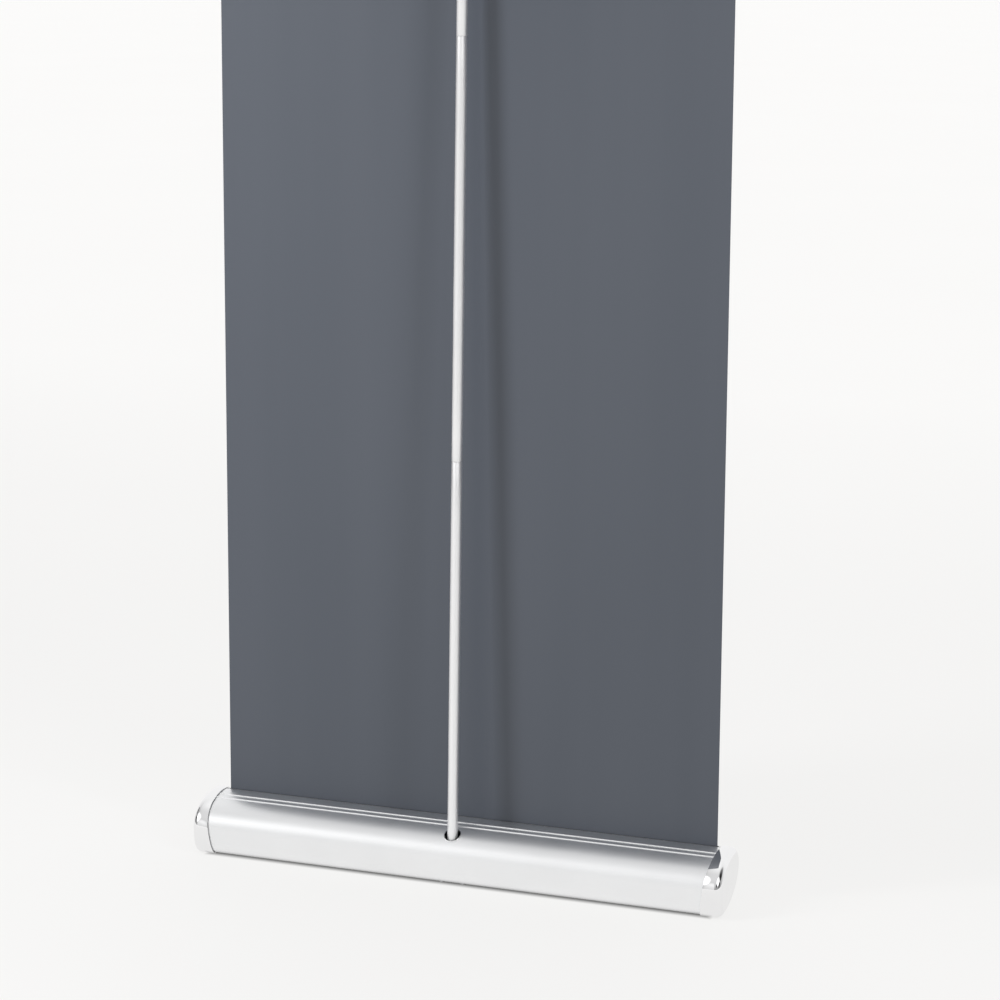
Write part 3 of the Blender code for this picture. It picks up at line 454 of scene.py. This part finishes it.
def housing_rows():
    """Outer and inner points of the wall, from the slot's rear lip round to its front lip."""
    lip_bottom = TOP_Z - LIP_DEPTH
    lip_inner = HALF_SLOT + WALL
    first, last = place_at(0, lip_inner + WALL), place_at(3, -lip_inner - WALL)
    reach = 0.52 * RIB_WIDTH
    near_rib = [(place_at(0, rib - reach), place_at(0, rib + reach)) for rib in RIB_PLACES]
    spots = [(step / FINE, 0.0) for step in range(4 * FINE)
             if first < step / FINE < last and not any(a < step / FINE < b for a, b in near_rib)]
    for rib in RIB_PLACES:
        for step in range(13):
            turn = math.pi * step / 12.0
            share = -0.5 * math.cos(turn)
            spots.append((place_at(0, rib + share * RIB_WIDTH), RIB_HEIGHT * math.sin(turn)))
    spots = sorted(spots + [(first, 0.0), (last, 0.0)])

    def lip(side, quarter):
        edge = place_at(quarter, side * (HALF_SLOT + LIP_ROUND))
        crest = outline_point(edge)
        level = crest.y
        rows = [((side * HALF_SLOT, lip_bottom), (side * lip_inner, lip_bottom))]
        inner = (side * lip_inner, level - WALL - LIP_ROUND)
        for y, z in arc((0.0, 0.0), LIP_ROUND, 180.0, 95.0, 5):
            rows.append(((side * (HALF_SLOT + LIP_ROUND + y), level - LIP_ROUND + z), inner))
            inner = (side * (lip_inner + LIP_ROUND * 0.5 * len(rows) / 6.0), level - WALL)
        rows.append(((crest.x - PLANE_Y, crest.y), (side * (lip_inner + LIP_ROUND), level - WALL)))
        return [[(PLANE_Y + y, z) for y, z in row] for row in rows]

    middle = [(tuple(offset_point(place, height)), tuple(offset_point(place, -WALL)))
              for place, height in spots]
    return lip(1.0, 0) + middle + lip(-1.0, 3)[::-1]


def make_housing():
    rows = housing_rows()
    mesh = bmesh.new()
    stations = [HALF_HOUSING, *HOUSING_STATIONS]
    stations = [-x for x in stations] + stations[::-1]
    grid = [[[mesh.verts.new((x, *point)) for point in row] for row in rows] for x in stations]
    for near, far in zip(grid, grid[1:]):
        for i in range(len(rows) - 1):
            j = i + 1
            mesh.faces.new((near[i][0], near[j][0], far[j][0], far[i][0]))
            mesh.faces.new((near[i][1], far[i][1], far[j][1], near[j][1]))
        for i in (0, len(rows) - 1):
            mesh.faces.new((near[i][0], far[i][0], far[i][1], near[i][1]))
    for end in (grid[0], grid[-1]):
        for i in range(len(rows) - 1):
            mesh.faces.new((end[i][0], end[i][1], end[i + 1][1], end[i + 1][0]))
    bmesh.ops.dissolve_degenerate(mesh, dist=1e-7, edges=mesh.edges)
    housing = add("housing_shell", mesh, finish["anodised_housing"], "base", ["base_housing"])
    y, z, tilt = hole_seat()
    hole = [(POLE_HOLE_RADIUS, -POLE_HOLE_REACH), (POLE_HOLE_RADIUS, POLE_HOLE_REACH)]
    cut(housing, moved(turned(hole, steps=96), (0.0, y, z), tilt))
    for _, side in SIDES:
        hole = turned([(SOCKET_SCREW_HOLE, -0.001), (SOCKET_SCREW_HOLE, 0.0068)], steps=32)
        cut(housing, moved(hole, (side * SOCKET_SCREW_X, PLANE_Y + BOTTOM_Y, 0.0)))
    set_normals(housing)


def set_normals(piece):
    """Gives faces on the outline's surface the outline's normals, so that holes leave no marks in them."""
    cell, touching, facing = 0.004, 0.00008, 0.9
    samples = [step / 400.0 for step in range(1600)]
    points = [outline_point(place) for place in samples]
    normals = [outline_normal(place) for place in samples]
    buckets = {}
    for index, point in enumerate(points):
        buckets.setdefault((round(point.x / cell), round(point.y / cell)), []).append(index)
    data = piece.data
    wanted = [(0.0, 0.0, 0.0)] * len(data.loops)
    for face in data.polygons:
        for loop in face.loop_indices:
            co = data.vertices[data.loops[loop].vertex_index].co
            column, row = round(co.y / cell), round(co.z / cell)
            near = [i for dy in (-1, 0, 1) for dz in (-1, 0, 1)
                    for i in buckets.get((column + dy, row + dz), ())]
            if not near:
                continue
            flat = Vector((co.y, co.z))
            best = min(near, key=lambda i: (points[i] - flat).length_squared)
            if (points[best] - flat).length > touching:
                continue
            normal = Vector((0.0, *normals[best]))
            if face.normal.dot(normal) > facing:
                wanted[loop] = tuple(normal)
    data.normals_split_custom_set(wanted)


def hole_seat():
    """Where the pole's hole is on the outline, (y, z), and how far the surface is tilted there."""
    place = place_at(0, POLE_HOLE_Y)
    y, z = outline_point(place)
    normal = outline_normal(place)
    return y, z, -math.atan2(normal.x, normal.y)


def surface_drop(place, along):
    """How far the outline falls away from its tangent at a place, a given distance along that tangent."""
    middle, normal = outline_point(place), outline_normal(place)
    tangent = Vector((normal.y, -normal.x))
    near = [outline_point(place + step / 1000.0) - middle for step in range(-350, 351)]
    return -min(near, key=lambda gap: abs(gap.dot(tangent) - along)).dot(normal)


def make_grommet():
    """The chrome ring round the pole's hole, bent to the housing's curve."""
    y, z, tilt = hole_seat()
    bore, barrel, lip, depth, height, edge = 0.0130, 0.0138, 0.0144, 0.0020, 0.0014, 0.0005
    profile = [(bore, -depth), (barrel, -depth), (barrel, GAP * 0.3), (lip, GAP * 0.3)]
    middle = (bore + lip) / 2.0
    for step in range(13):
        turn = math.pi * step / 12.0
        profile.append((middle + (lip - bore) / 2.0 * math.cos(turn),
                        GAP + edge + (height - edge) * math.sin(turn)))
    ring = turned(profile, looped=True, steps=96)
    place = place_at(0, POLE_HOLE_Y)
    drops = {}
    for corner in ring.verts:
        key = round(corner.co.y, 5)
        if key not in drops:
            drops[key] = surface_drop(place, corner.co.y)
        corner.co.z -= drops[key]
    add("grommet_ring", moved(ring, (0.0, y, z), tilt), finish["chrome_plate"], "base", ["pole_grommet"],
        50.0)


def make_end_cap(word, side):
    """A chrome shell with a leaning seam, a softly rounded lip and a large round to its flat face."""
    def seam_x(z, inset):
        return side * (CAP_SEAM + inset + CAP_SEAM_SLOPE * z)

    def shell(offset, end, radius, steps=20):
        rings = []
        for step in range(steps + 1):
            turn = math.pi / 2.0 * step / steps
            x = side * (end - radius * (1.0 - math.sin(turn)))
            rings.append(outline_ring(offset - radius * (1.0 - math.cos(turn)), lambda z, x=x: x))
        return rings

    proud = GAP + CAP_WALL
    lip = [outline_ring(level, lambda z: seam_x(z, SEAM_UNDERCUT)) for level in (CAP_INSIDE, proud - 0.0009)]
    for below, inset in ((0.0007, 0.0), (0.00015, 0.00015), (0.0, 0.0005)):
        lip.append(outline_ring(proud - below, lambda z, inset=inset: seam_x(z, inset)))
    inner = shell(CAP_INSIDE, CAP_FACE - CAP_WALL, CAP_ROUND - CAP_WALL, 8)
    mesh = bridge(inner[::-1] + lip + shell(proud, CAP_FACE, CAP_ROUND))
    add(f"chrome_cap_{word}", mesh, finish["chrome_plate"], "base", [f"end_cap_{word}"],
        40.0)


def make_brush(word, side):
    """A strip of pile with a ragged top edge."""
    bottom, top = low(f"slot_brush_{word}").z, high(f"slot_brush_{word}").z
    half = high(f"slot_brush_{word}").x
    near, far = PLANE_Y + side * 0.00045, PLANE_Y + side * 0.0027
    mesh = bmesh.new()
    columns = []
    count, tufts, bends = 1400, 2600.0, 900.0
    for step in range(count + 1):
        x = -half + 2.0 * half * step / count
        ragged = noise.noise(Vector((x * tufts, side * 3.0, 0.0))) * 0.00035
        bent = noise.noise(Vector((x * bends, side * 7.0, 2.0))) * 0.00012
        tip = top - 0.0003 + ragged
        inner_tip = near + side * max(0.0, bent)
        points = [(x, far, bottom), (x, near + side * 0.0003, bottom), (x, inner_tip, tip - 0.0004),
                  (x, near + side * 0.0008, tip), (x, far - side * 0.0004, tip - 0.0003),
                  (x, far, tip - 0.0012)]
        columns.append([mesh.verts.new(point) for point in points])
    for a, b in zip(columns, columns[1:]):
        for i in range(len(a)):
            j = (i + 1) % len(a)
            mesh.faces.new((a[i], a[j], b[j], b[i]))
    mesh.faces.new(columns[0])
    mesh.faces.new(columns[-1])
    add(f"pile_strip_{word}", mesh, finish["brush_pile"], "base", [f"slot_brush_{word}"],
        60.0)


# ---------------------------------------------------------------- feet and pads

def puck(name, centre, radius, bottom, top, body, node):
    """A rubber pad: a disc with a soft edge and a shallow ring moulded in its underside."""
    edge = min(0.0006, 0.3 * (top - bottom))
    profile = [(radius * 0.55, bottom + 0.0003), (radius * 0.62, bottom), (radius - edge, bottom)]
    for k in range(1, 5):
        turn = math.pi / 8.0 * k
        profile.append((radius - edge + edge * math.sin(turn), bottom + edge - edge * math.cos(turn)))
    profile += [(radius, top - edge * 0.5), (radius - edge * 0.5, top)]
    add(name, moved(turned(profile), centre), finish["moulded_rubber"], body, [node],
        50.0)


def make_feet():
    """The rubber pads under the base, and the swing-out feet with their tips and pivot bolts."""
    pad_radius, tip_radius = 0.006, 0.009
    bolt_hole, head_hole, head_hole_top = 0.0029, 0.0054, 0.0046
    for word in ("left", "middle", "right"):
        node = f"rear_pad_{word}"
        centre = (low(node) + high(node)) / 2.0
        puck(f"base_pad_{word}", (centre.x, centre.y, 0.0), pad_radius, 0.0, high(node).z, "base", node)
    for word, _ in SIDES:
        body = f"foot_{word}"
        node = f"foot_arm_{word}"
        x = (low(node).x + high(node).x) / 2.0
        half = (high(node).x - low(node).x) / 2.0
        back, front = high(node).y - half, low(node).y + half
        outline = arc((x, back), half, 0.0, 180.0, 32) + arc((x, front), half, 180.0, 360.0, 32)
        arm = add(f"swing_foot_{word}", prism(outline, low(node).z, high(node).z, "Z"),
                  finish["foot_powder_coat"], body, [node])
        for radius, top in ((bolt_hole, 0.02), (head_hole, head_hole_top)):
            cut(arm, moved(turned([(radius, -0.01), (radius, top)]), (x, back, 0.0)))
        soften(arm, 0.0008)
        tip = f"foot_tip_pad_{word}"
        centre = (low(tip) + high(tip)) / 2.0
        puck(f"foot_pad_{word}", (centre.x, centre.y, 0.0), tip_radius, 0.0, high(tip).z, body, tip)
        make_pivot(word, x, back)


def make_pivot(word, x, y):
    """The pivot bolt: a flat head with a hexagon socket in it."""
    node = f"foot_pivot_bolt_{word}"
    bottom, top = low(node).z, high(node).z
    head, head_top, shank, hexagon, hexagon_depth = 0.0050, bottom + 0.0020, 0.0025, 0.0018, 0.0013
    profile = [(0.0040, bottom), (0.0047, bottom + 0.0002), (head, bottom + 0.0006), (head, head_top),
               (shank, head_top), (shank, top - 0.0005), (0.0020, top)]
    bolt = add(f"pivot_bolt_{word}", moved(turned(profile), (x, y, 0.0)), finish["zinc_plate"], "base",
               [node])
    hole = turned([(hexagon, bottom - 0.001), (hexagon, bottom + hexagon_depth)], steps=6)
    cut(bolt, moved(hole, (x, y, 0.0)))


# ---------------------------------------------------------------- pole

def along_pole(mesh, distance):
    """Moves a mesh made about Z to the pole's axis, a distance up it."""
    foot_y = PLANE_Y + POLE_HOLE_Y + math.tan(POLE_LEAN) * (hole_seat()[1] - POLE_FOOT_Z)
    axis = Matrix.Translation((0.0, foot_y, POLE_FOOT_Z)) @ Matrix.Rotation(POLE_LEAN, 4, "X")
    mesh.transform(axis @ Matrix.Translation((0, 0, distance)))
    return mesh


def make_pole():
    """Three tubes, the ferrules that join them, the foot plug and the head."""
    soft = TUBE_SOFT
    for number, word in enumerate(("lower", "middle", "upper")):
        length = SECTION - GAP
        profile = [(POLE_BORE, soft), (POLE_BORE + soft, 0.0), (POLE_RADIUS - soft, 0.0), (POLE_RADIUS, soft)]
        profile += [(POLE_RADIUS, length * k / 8.0) for k in range(1, 8)]
        profile += [(POLE_RADIUS, length - soft), (POLE_RADIUS - soft, length), (POLE_BORE + soft, length),
                    (POLE_BORE, length - soft)]
        add(f"pole_section_{word}", along_pole(turned(profile, looped=True, steps=96), number * SECTION),
            finish["anodised_pole"], f"pole_{word}", [f"pole_tube_{word}"], 60.0)
    for number, word, body in ((0, "lower", "pole_lower"), (1, "upper", "pole_middle")):
        top = SECTION + FERRULE_PAST_JOINT
        bottom = top - FERRULE_LENGTH
        bore, outside = 0.0060, 0.0070
        profile = [(bore, bottom), (outside, bottom), (outside, top - 0.002), (0.0064, top), (bore, top)]
        add(f"joint_ferrule_{word}", along_pole(turned(profile, looped=True), number * SECTION),
            finish["zinc_plate"], body, [f"pole_ferrule_{word}"], 50.0)
    plug = [(0.0066, 0.020), (0.0070, 0.0194), (0.0070, -GAP), (POLE_RADIUS, -GAP), (POLE_RADIUS, -0.0040),
            (0.0083, -0.0056), (0.0076, -0.0070), (0.0066, -0.0078), (0.0056, -0.0080)]
    add("foot_plug", along_pole(turned(plug), 0.0), finish["moulded_plastic"], "pole_lower",
        ["pole_foot_plug"], 50.0)
    make_head()


def make_head():
    """The plug in the top of the pole, a collar on it and a flat blade that stands up from the collar."""
    collar, inside, round_edge = SECTION + 0.010, 0.0070, 0.0012
    profile = [(inside, SECTION - GAP - 0.020), (inside, SECTION), (POLE_RADIUS, SECTION),
               (POLE_RADIUS, collar - round_edge)]
    for k in range(1, 6):
        turn = math.pi / 10.0 * k
        profile.append((0.0073 + round_edge * math.cos(turn),
                        collar - round_edge + round_edge * math.sin(turn)))
    add("head_collar", along_pole(turned(profile), 2.0 * SECTION), finish["moulded_plastic"], "pole_upper",
        ["pole_head"], 50.0)

    half, corner, top, thick = 0.0055, 0.003, collar + 0.013, 0.002
    outline = [(-half, collar - 0.002), (half, collar - 0.002)]
    outline += arc((half - corner, top), corner, 0.0, 90.0, 8)
    outline += arc((-half + corner, top), corner, 90.0, 180.0, 8)
    blade = add("head_blade", along_pole(prism(outline, -thick, thick), 2.0 * SECTION),
                finish["moulded_plastic"], "pole_upper", ())
    soften(blade, 0.0006)


# ---------------------------------------------------------------- top rail

def make_rear_jaw(bottom, top, half):
    """The rail's fixed jaw: a face plate against the film, a channel behind it and a flange over the top."""
    face, wall, rear = 0.0005, 0.0018, 0.0055
    flange, inner, front, soft, front_soft = top - 0.0014, rear - wall, -0.0076, 0.0009, 0.0007
    outline = [(face, bottom + 0.0003), (face + 0.0003, bottom), (face + wall - 0.0004, bottom),
               (face + wall, bottom + 0.0004), (face + wall, flange), (inner, flange), (inner, top - 0.0077),
               (inner + 0.0003, top - 0.0080), (rear - 0.0004, top - 0.0080), (rear, top - 0.0076)]
    outline += arc((rear - soft, top - soft), soft, 0.0, 90.0, 6)
    outline += arc((front + front_soft, top - front_soft), front_soft, 90.0, 180.0, 5)
    outline += [(front, flange), (face, flange)]
    outline = [(PLANE_Y + y, z) for y, z in outline]
    add("clamp_rear", prism(outline, -half, half), finish["anodised_rail"], "top_rail", ["rail_rear_jaw"])


def make_front_jaw(bottom, top, half):
    """The rail's hinged jaw: a bead it turns on, a bulging plate and a lip that grips the film."""
    bead = 0.0024
    bead_y, bead_z = -0.0040, top - 0.0014 - GAP - bead
    foot = bottom - bead_z
    start, bulge, end = Vector((-bead, 0.0)), Vector((-0.0085, 0.55 * foot)), Vector((0.0010, foot))

    def plate(share):
        return start.lerp(bulge, share).lerp(bulge.lerp(end, share), share)

    shares = [step / 32.0 for step in range(33)]
    outer = [tuple(plate(share)) for share in shares]
    inner_side = [tuple(plate(share) + Vector((0.0016, 0.0))) for share in shares[6:-2]]
    grip = 0.0035
    outline = arc((0.0, 0.0), bead, -90.0, 165.0, 24) + outer
    outline += [(grip - 0.0004, foot), (grip, foot + 0.0004), (grip, foot + 0.0030)] + inner_side[::-1]
    outline = [(PLANE_Y + bead_y + y, bead_z + z) for y, z in outline]
    add("clamp_front", prism(outline, -half, half), finish["anodised_rail"], "rail_jaw", ["rail_front_jaw"])


def make_yoke():
    """The fork on the rail's back that the pole's blade stands in."""
    corner, opposite = low("pole_yoke"), high("pole_yoke")
    gap, plate_back, ear, root = 0.0093, corner.y + 0.0016, 0.0012, 0.0015
    outline = [(corner.x, corner.y), (opposite.x, corner.y)]
    outline += arc((opposite.x - ear, opposite.y - ear), ear, 0.0, 90.0, 6) + [(gap, opposite.y)]
    outline += arc((gap - root, plate_back + root), root, 0.0, -90.0, 5)
    outline += arc((-gap + root, plate_back + root), root, -90.0, -180.0, 5)
    outline += [(-gap, opposite.y)] + arc((corner.x + ear, opposite.y - ear), ear, 90.0, 180.0, 6)
    yoke = add("hook_yoke", prism(outline, corner.z, opposite.z, "Z"), finish["moulded_plastic"],
               "top_rail", ["pole_yoke"])
    soften(yoke, 0.0005)


def make_rail():
    bottom, top = low("rail_rear_jaw").z, high("rail_rear_jaw").z
    half = high("rail_rear_jaw").x
    make_rear_jaw(bottom, top, half)
    make_front_jaw(bottom, top, half)
    for word, _ in SIDES:
        node = f"rail_cap_{word}"
        corner, opposite = low(node), high(node)
        outline = rounded_box((corner.y, corner.z), (opposite.y, opposite.z), 0.0045, 10)
        cap = add(f"clamp_cap_{word}", prism(outline, corner.x, opposite.x), finish["moulded_plastic"],
                  "top_rail", [node])
        soften(cap, 0.0006)
    make_yoke()


# ---------------------------------------------------------------- graphic

def make_banner():
    """The stretched film: a thin closed sheet, blue-grey behind and white in front.

    Its ripple dies out at the slot and the rail, and stays shallow enough to pass the rail's jaws.
    """
    bottom, top = low("graphic_panel").z, high("graphic_panel").z
    columns, rows = 68, 150
    mesh = bmesh.new()

    def ripple(x, z):
        fade = 0.25
        free = min(1.0, max(0.0, (z - bottom - 0.02) / fade)) * min(1.0, max(0.0, (top - 0.05 - z) / fade))
        return free * (0.00014 * math.sin(7.4 * x + 0.6) + 0.00007 * math.sin(17.0 * x - 1.1 + 0.8 * z))

    across = [-HALF_GRAPHIC + 2.0 * HALF_GRAPHIC * i / columns for i in range(columns + 1)]
    upward = [bottom + (top - bottom) * j / rows for j in range(rows + 1)]
    back, front = [[[mesh.verts.new((x, PLANE_Y + offset + ripple(x, z), z)) for x in across] for z in upward]
                   for offset in (FILM / 2.0, -FILM / 2.0)]
    for j in range(rows):
        for i in range(columns):
            mesh.faces.new((back[j][i + 1], back[j][i], back[j + 1][i], back[j + 1][i + 1]))
            face = mesh.faces.new((front[j][i], front[j][i + 1], front[j + 1][i + 1],
                                   front[j + 1][i]))
            face.material_index = 1
    for j in range(rows):
        for i in (0, columns):
            mesh.faces.new((back[j][i], front[j][i], front[j + 1][i], back[j + 1][i]))
    for i in range(columns):
        for j in (0, rows):
            mesh.faces.new((back[j][i], back[j][i + 1], front[j][i + 1], front[j][i]))
    banner = add("banner_film", mesh, (back_finish, front_finish), "base", ["graphic_panel"])
    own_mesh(banner)


# ---------------------------------------------------------------- studio

FLOOR_REACH = 150.0
FLOOR_DARKER = (0.078, 0.078, 0.078)
FLOOR_LIGHTER = (0.084, 0.084, 0.084)
FLOOR_PAINTED_SHADE = 0.16              # painted shade under the base: the paper's own light, turned down there
FLOOR_GLOW = 0.785              # the same around it
FLOOR_FAR_GLOW = 0.068          # and what is added to that far from it
PAINTED_SHADE_EDGE = (-0.012, 0.004)    # where the painted shade gives way to the glow around it, past the base's box
FAR_EDGE = (0.5, 5.0)

ROOM_LEVEL = 0.36
ROOM_DARKEST = 0.03
ROOM_SEEN = 0.97
# azimuth from +Y towards +X, elevation, half-width and half-width of the even middle in degrees, strength
ROOM_LIGHTS = (
    (180.0, 20.0, 95.0, 40.0, 0.62),
    (0.0, 58.0, 60.0, 12.0, 0.42),
    (-50.0, 30.0, 22.0, 8.0, 1.5),
    (50.0, 30.0, 22.0, 8.0, 1.5),
    (-30.0, 17.0, 8.0, 6.0, -0.9),
    (-66.0, 13.0, 11.0, 8.5, -0.9),
    (-92.0, 40.0, 24.0, 13.0, -0.55),
    (20.0, 7.0, 26.0, 10.0, 0.45),
    (74.0, 13.0, 12.0, 9.0, -0.9),
    (100.0, 24.0, 9.0, 7.0, -0.9),
)

# name, place, width, height, power
SOFTBOXES = (
    ("softbox_left", (1.70, 1.50, 1.60), 0.45, 1.9, 66.0),
    ("softbox_right", (-1.95, 1.05, 1.60), 0.45, 1.9, 33.0),
)
SOFTBOX_AIM_Z = 1.0

CAMERA_PLACE = (-1.6411, 4.2057, 1.5033)        # y from the graphic's plane
CAMERA_TURNS = (20.666, 11.079, 0.344)          # yaw, pitch and roll in degrees
CAMERA_LENS = 103.91
SENSOR_WIDTH = 36.0


def make_floor():
    """White studio paper: partly its own light, as an overlit sweep looks, and less so under the base as a
    painted shade.
    """
    data = bpy.data.meshes.new("studio_floor")
    corners = [(FLOOR_REACH * x, FLOOR_REACH * y, 0) for x, y in ((-1, -1), (1, -1), (1, 1), (-1, 1))]
    data.from_pydata(corners, [], [(0, 1, 2, 3)])
    floor = bpy.data.objects.new("studio_floor", data)
    bpy.context.scene.collection.objects.link(floor)
    paper, tree, shader = nodes_of("floor_paper")
    cloud = noise_node(tree, 0.6, 4.0)
    tint = remap(tree, cloud, "Fac", 0.0, 1.0)
    blended = mix_colours(tree, tint, "Result", FLOOR_DARKER, FLOOR_LIGHTER)
    link(tree, blended, "Result", shader, "Base Color")
    shader.inputs["Roughness"].default_value = 0.8
    shader.inputs["Specular IOR Level"].default_value = 0.1
    where = tree.nodes.new("ShaderNodeTexCoord")
    split = tree.nodes.new("ShaderNodeSeparateXYZ")
    link(tree, where, "Object", split, "Vector")
    # Painted shade: inside the base's box the paper's own light is turned down, standing in for the base's
    # shadow.
    spans = []
    for axis, centre, half in (("X", 0.0, HALF_HOUSING), ("Y", PLANE_Y + 0.045, 0.030)):
        offset = maths(tree, "SUBTRACT", (split, axis), centre)
        size = maths(tree, "ABSOLUTE", (offset, "Value"))
        spans.append((maths(tree, "SUBTRACT", (size, "Value"), half), "Value"))
    farther = maths(tree, "MAXIMUM", *spans)
    glow_and_painted_shade = remap(tree, farther, "Value", FLOOR_PAINTED_SHADE, FLOOR_GLOW, *PAINTED_SHADE_EDGE)
    away = remap(tree, farther, "Value", 0.0, FLOOR_FAR_GLOW, *FAR_EDGE)
    both = maths(tree, "ADD", (glow_and_painted_shade, "Result"), (away, "Result"))
    link(tree, both, "Value", shader, "Emission Strength")
    shader.inputs["Emission Color"].default_value = (1.0, 0.995, 0.985, 1.0)
    data.materials.append(paper)


def make_world():
    """The room: dim all round, paler in front of the stand and overhead, with bright and dark patches."""
    world = bpy.data.worlds.new("studio")
    bpy.context.scene.world = world
    world.use_nodes = True
    tree = world.node_tree
    background = tree.nodes["Background"]
    where = tree.nodes.new("ShaderNodeTexCoord")
    room = None
    for azimuth, elevation, width, core, strength in ROOM_LIGHTS:
        lobe = tree.nodes.new("ShaderNodeVectorMath")
        lobe.operation = "DOT_PRODUCT"
        a, e = math.radians(azimuth), math.radians(elevation)
        lobe.inputs[1].default_value = (math.sin(a) * math.cos(e), math.cos(a) * math.cos(e), math.sin(e))
        link(tree, where, "Generated", lobe, 0)
        soft = tree.nodes.new("ShaderNodeMapRange")
        soft.interpolation_type = "SMOOTHSTEP"
        soft.inputs["From Min"].default_value = math.cos(math.radians(width))
        soft.inputs["From Max"].default_value = math.cos(math.radians(core))
        soft.inputs["To Min"].default_value = 0.0
        soft.inputs["To Max"].default_value = strength
        link(tree, lobe, "Value", soft, "Value")
        lit = (soft, "Result")
        room = lit if room is None else (maths(tree, "ADD", room, lit), "Value")
    room = (maths(tree, "ADD", room, ROOM_LEVEL), "Value")
    least = maths(tree, "MAXIMUM", room, ROOM_DARKEST)
    # Seen directly, past the edge of the floor, the room is as pale as the paper.
    seen = tree.nodes.new("ShaderNodeLightPath")
    pale = tree.nodes.new("ShaderNodeMix")
    pale.inputs["B"].default_value = ROOM_SEEN
    link(tree, seen, "Is Camera Ray", pale, "Factor")
    link(tree, least, "Value", pale, "A")
    link(tree, pale, "Result", background, "Strength")
    background.inputs["Color"].default_value = (1.0, 1.0, 1.0, 1.0)


def make_softboxes():
    """Two tall softboxes behind the stand, which put soft shadows of the pole on the film."""
    for name, place, width, height, power in SOFTBOXES:
        data = bpy.data.lights.new(name, "AREA")
        data.shape = "RECTANGLE"
        data.size, data.size_y = width, height
        data.energy = power
        light = bpy.data.objects.new(name, data)
        light.location = place
        toward = Vector((0.0, PLANE_Y, SOFTBOX_AIM_Z)) - Vector(place)
        light.rotation_euler = toward.to_track_quat("-Z", "Y").to_euler()
        light.visible_camera = False
        light.visible_glossy = False
        bpy.context.scene.collection.objects.link(light)


def make_camera():
    """The photograph's viewpoint: behind the stand, towards its -X end and a little above."""
    yaw, pitch, roll = [math.radians(turn) for turn in CAMERA_TURNS]
    forward = Vector((math.sin(yaw) * math.cos(pitch), -math.cos(yaw) * math.cos(pitch), -math.sin(pitch)))
    right = Vector((-math.cos(yaw), -math.sin(yaw), 0.0))
    up = right.cross(forward)
    right, up = (right * math.cos(roll) + up * math.sin(roll),
                 up * math.cos(roll) - right * math.sin(roll))
    data = bpy.data.cameras.new("camera")
    data.sensor_width = SENSOR_WIDTH
    data.lens = CAMERA_LENS
    data.clip_end = 500.0
    camera = bpy.data.objects.new("camera", data)
    bpy.context.scene.collection.objects.link(camera)
    x, y, z = CAMERA_PLACE
    place = Vector((x, PLANE_Y + y, z))
    camera.matrix_world = Matrix((
        (right.x, up.x, -forward.x, place.x), (right.y, up.y, -forward.y, place.y),
        (right.z, up.z, -forward.z, place.z), (0.0, 0.0, 0.0, 1.0)))
    bpy.context.scene.camera = camera


make_camera()
make_world()
make_softboxes()
make_floor()
make_housing()
make_grommet()
for word, side in SIDES:
    make_end_cap(word, side)
for word, side in (("rear", 1.0), ("front", -1.0)):
    make_brush(word, side)
make_feet()
make_pole()
make_rail()
make_banner()
bpy.context.scene.view_settings.view_transform = "Standard"
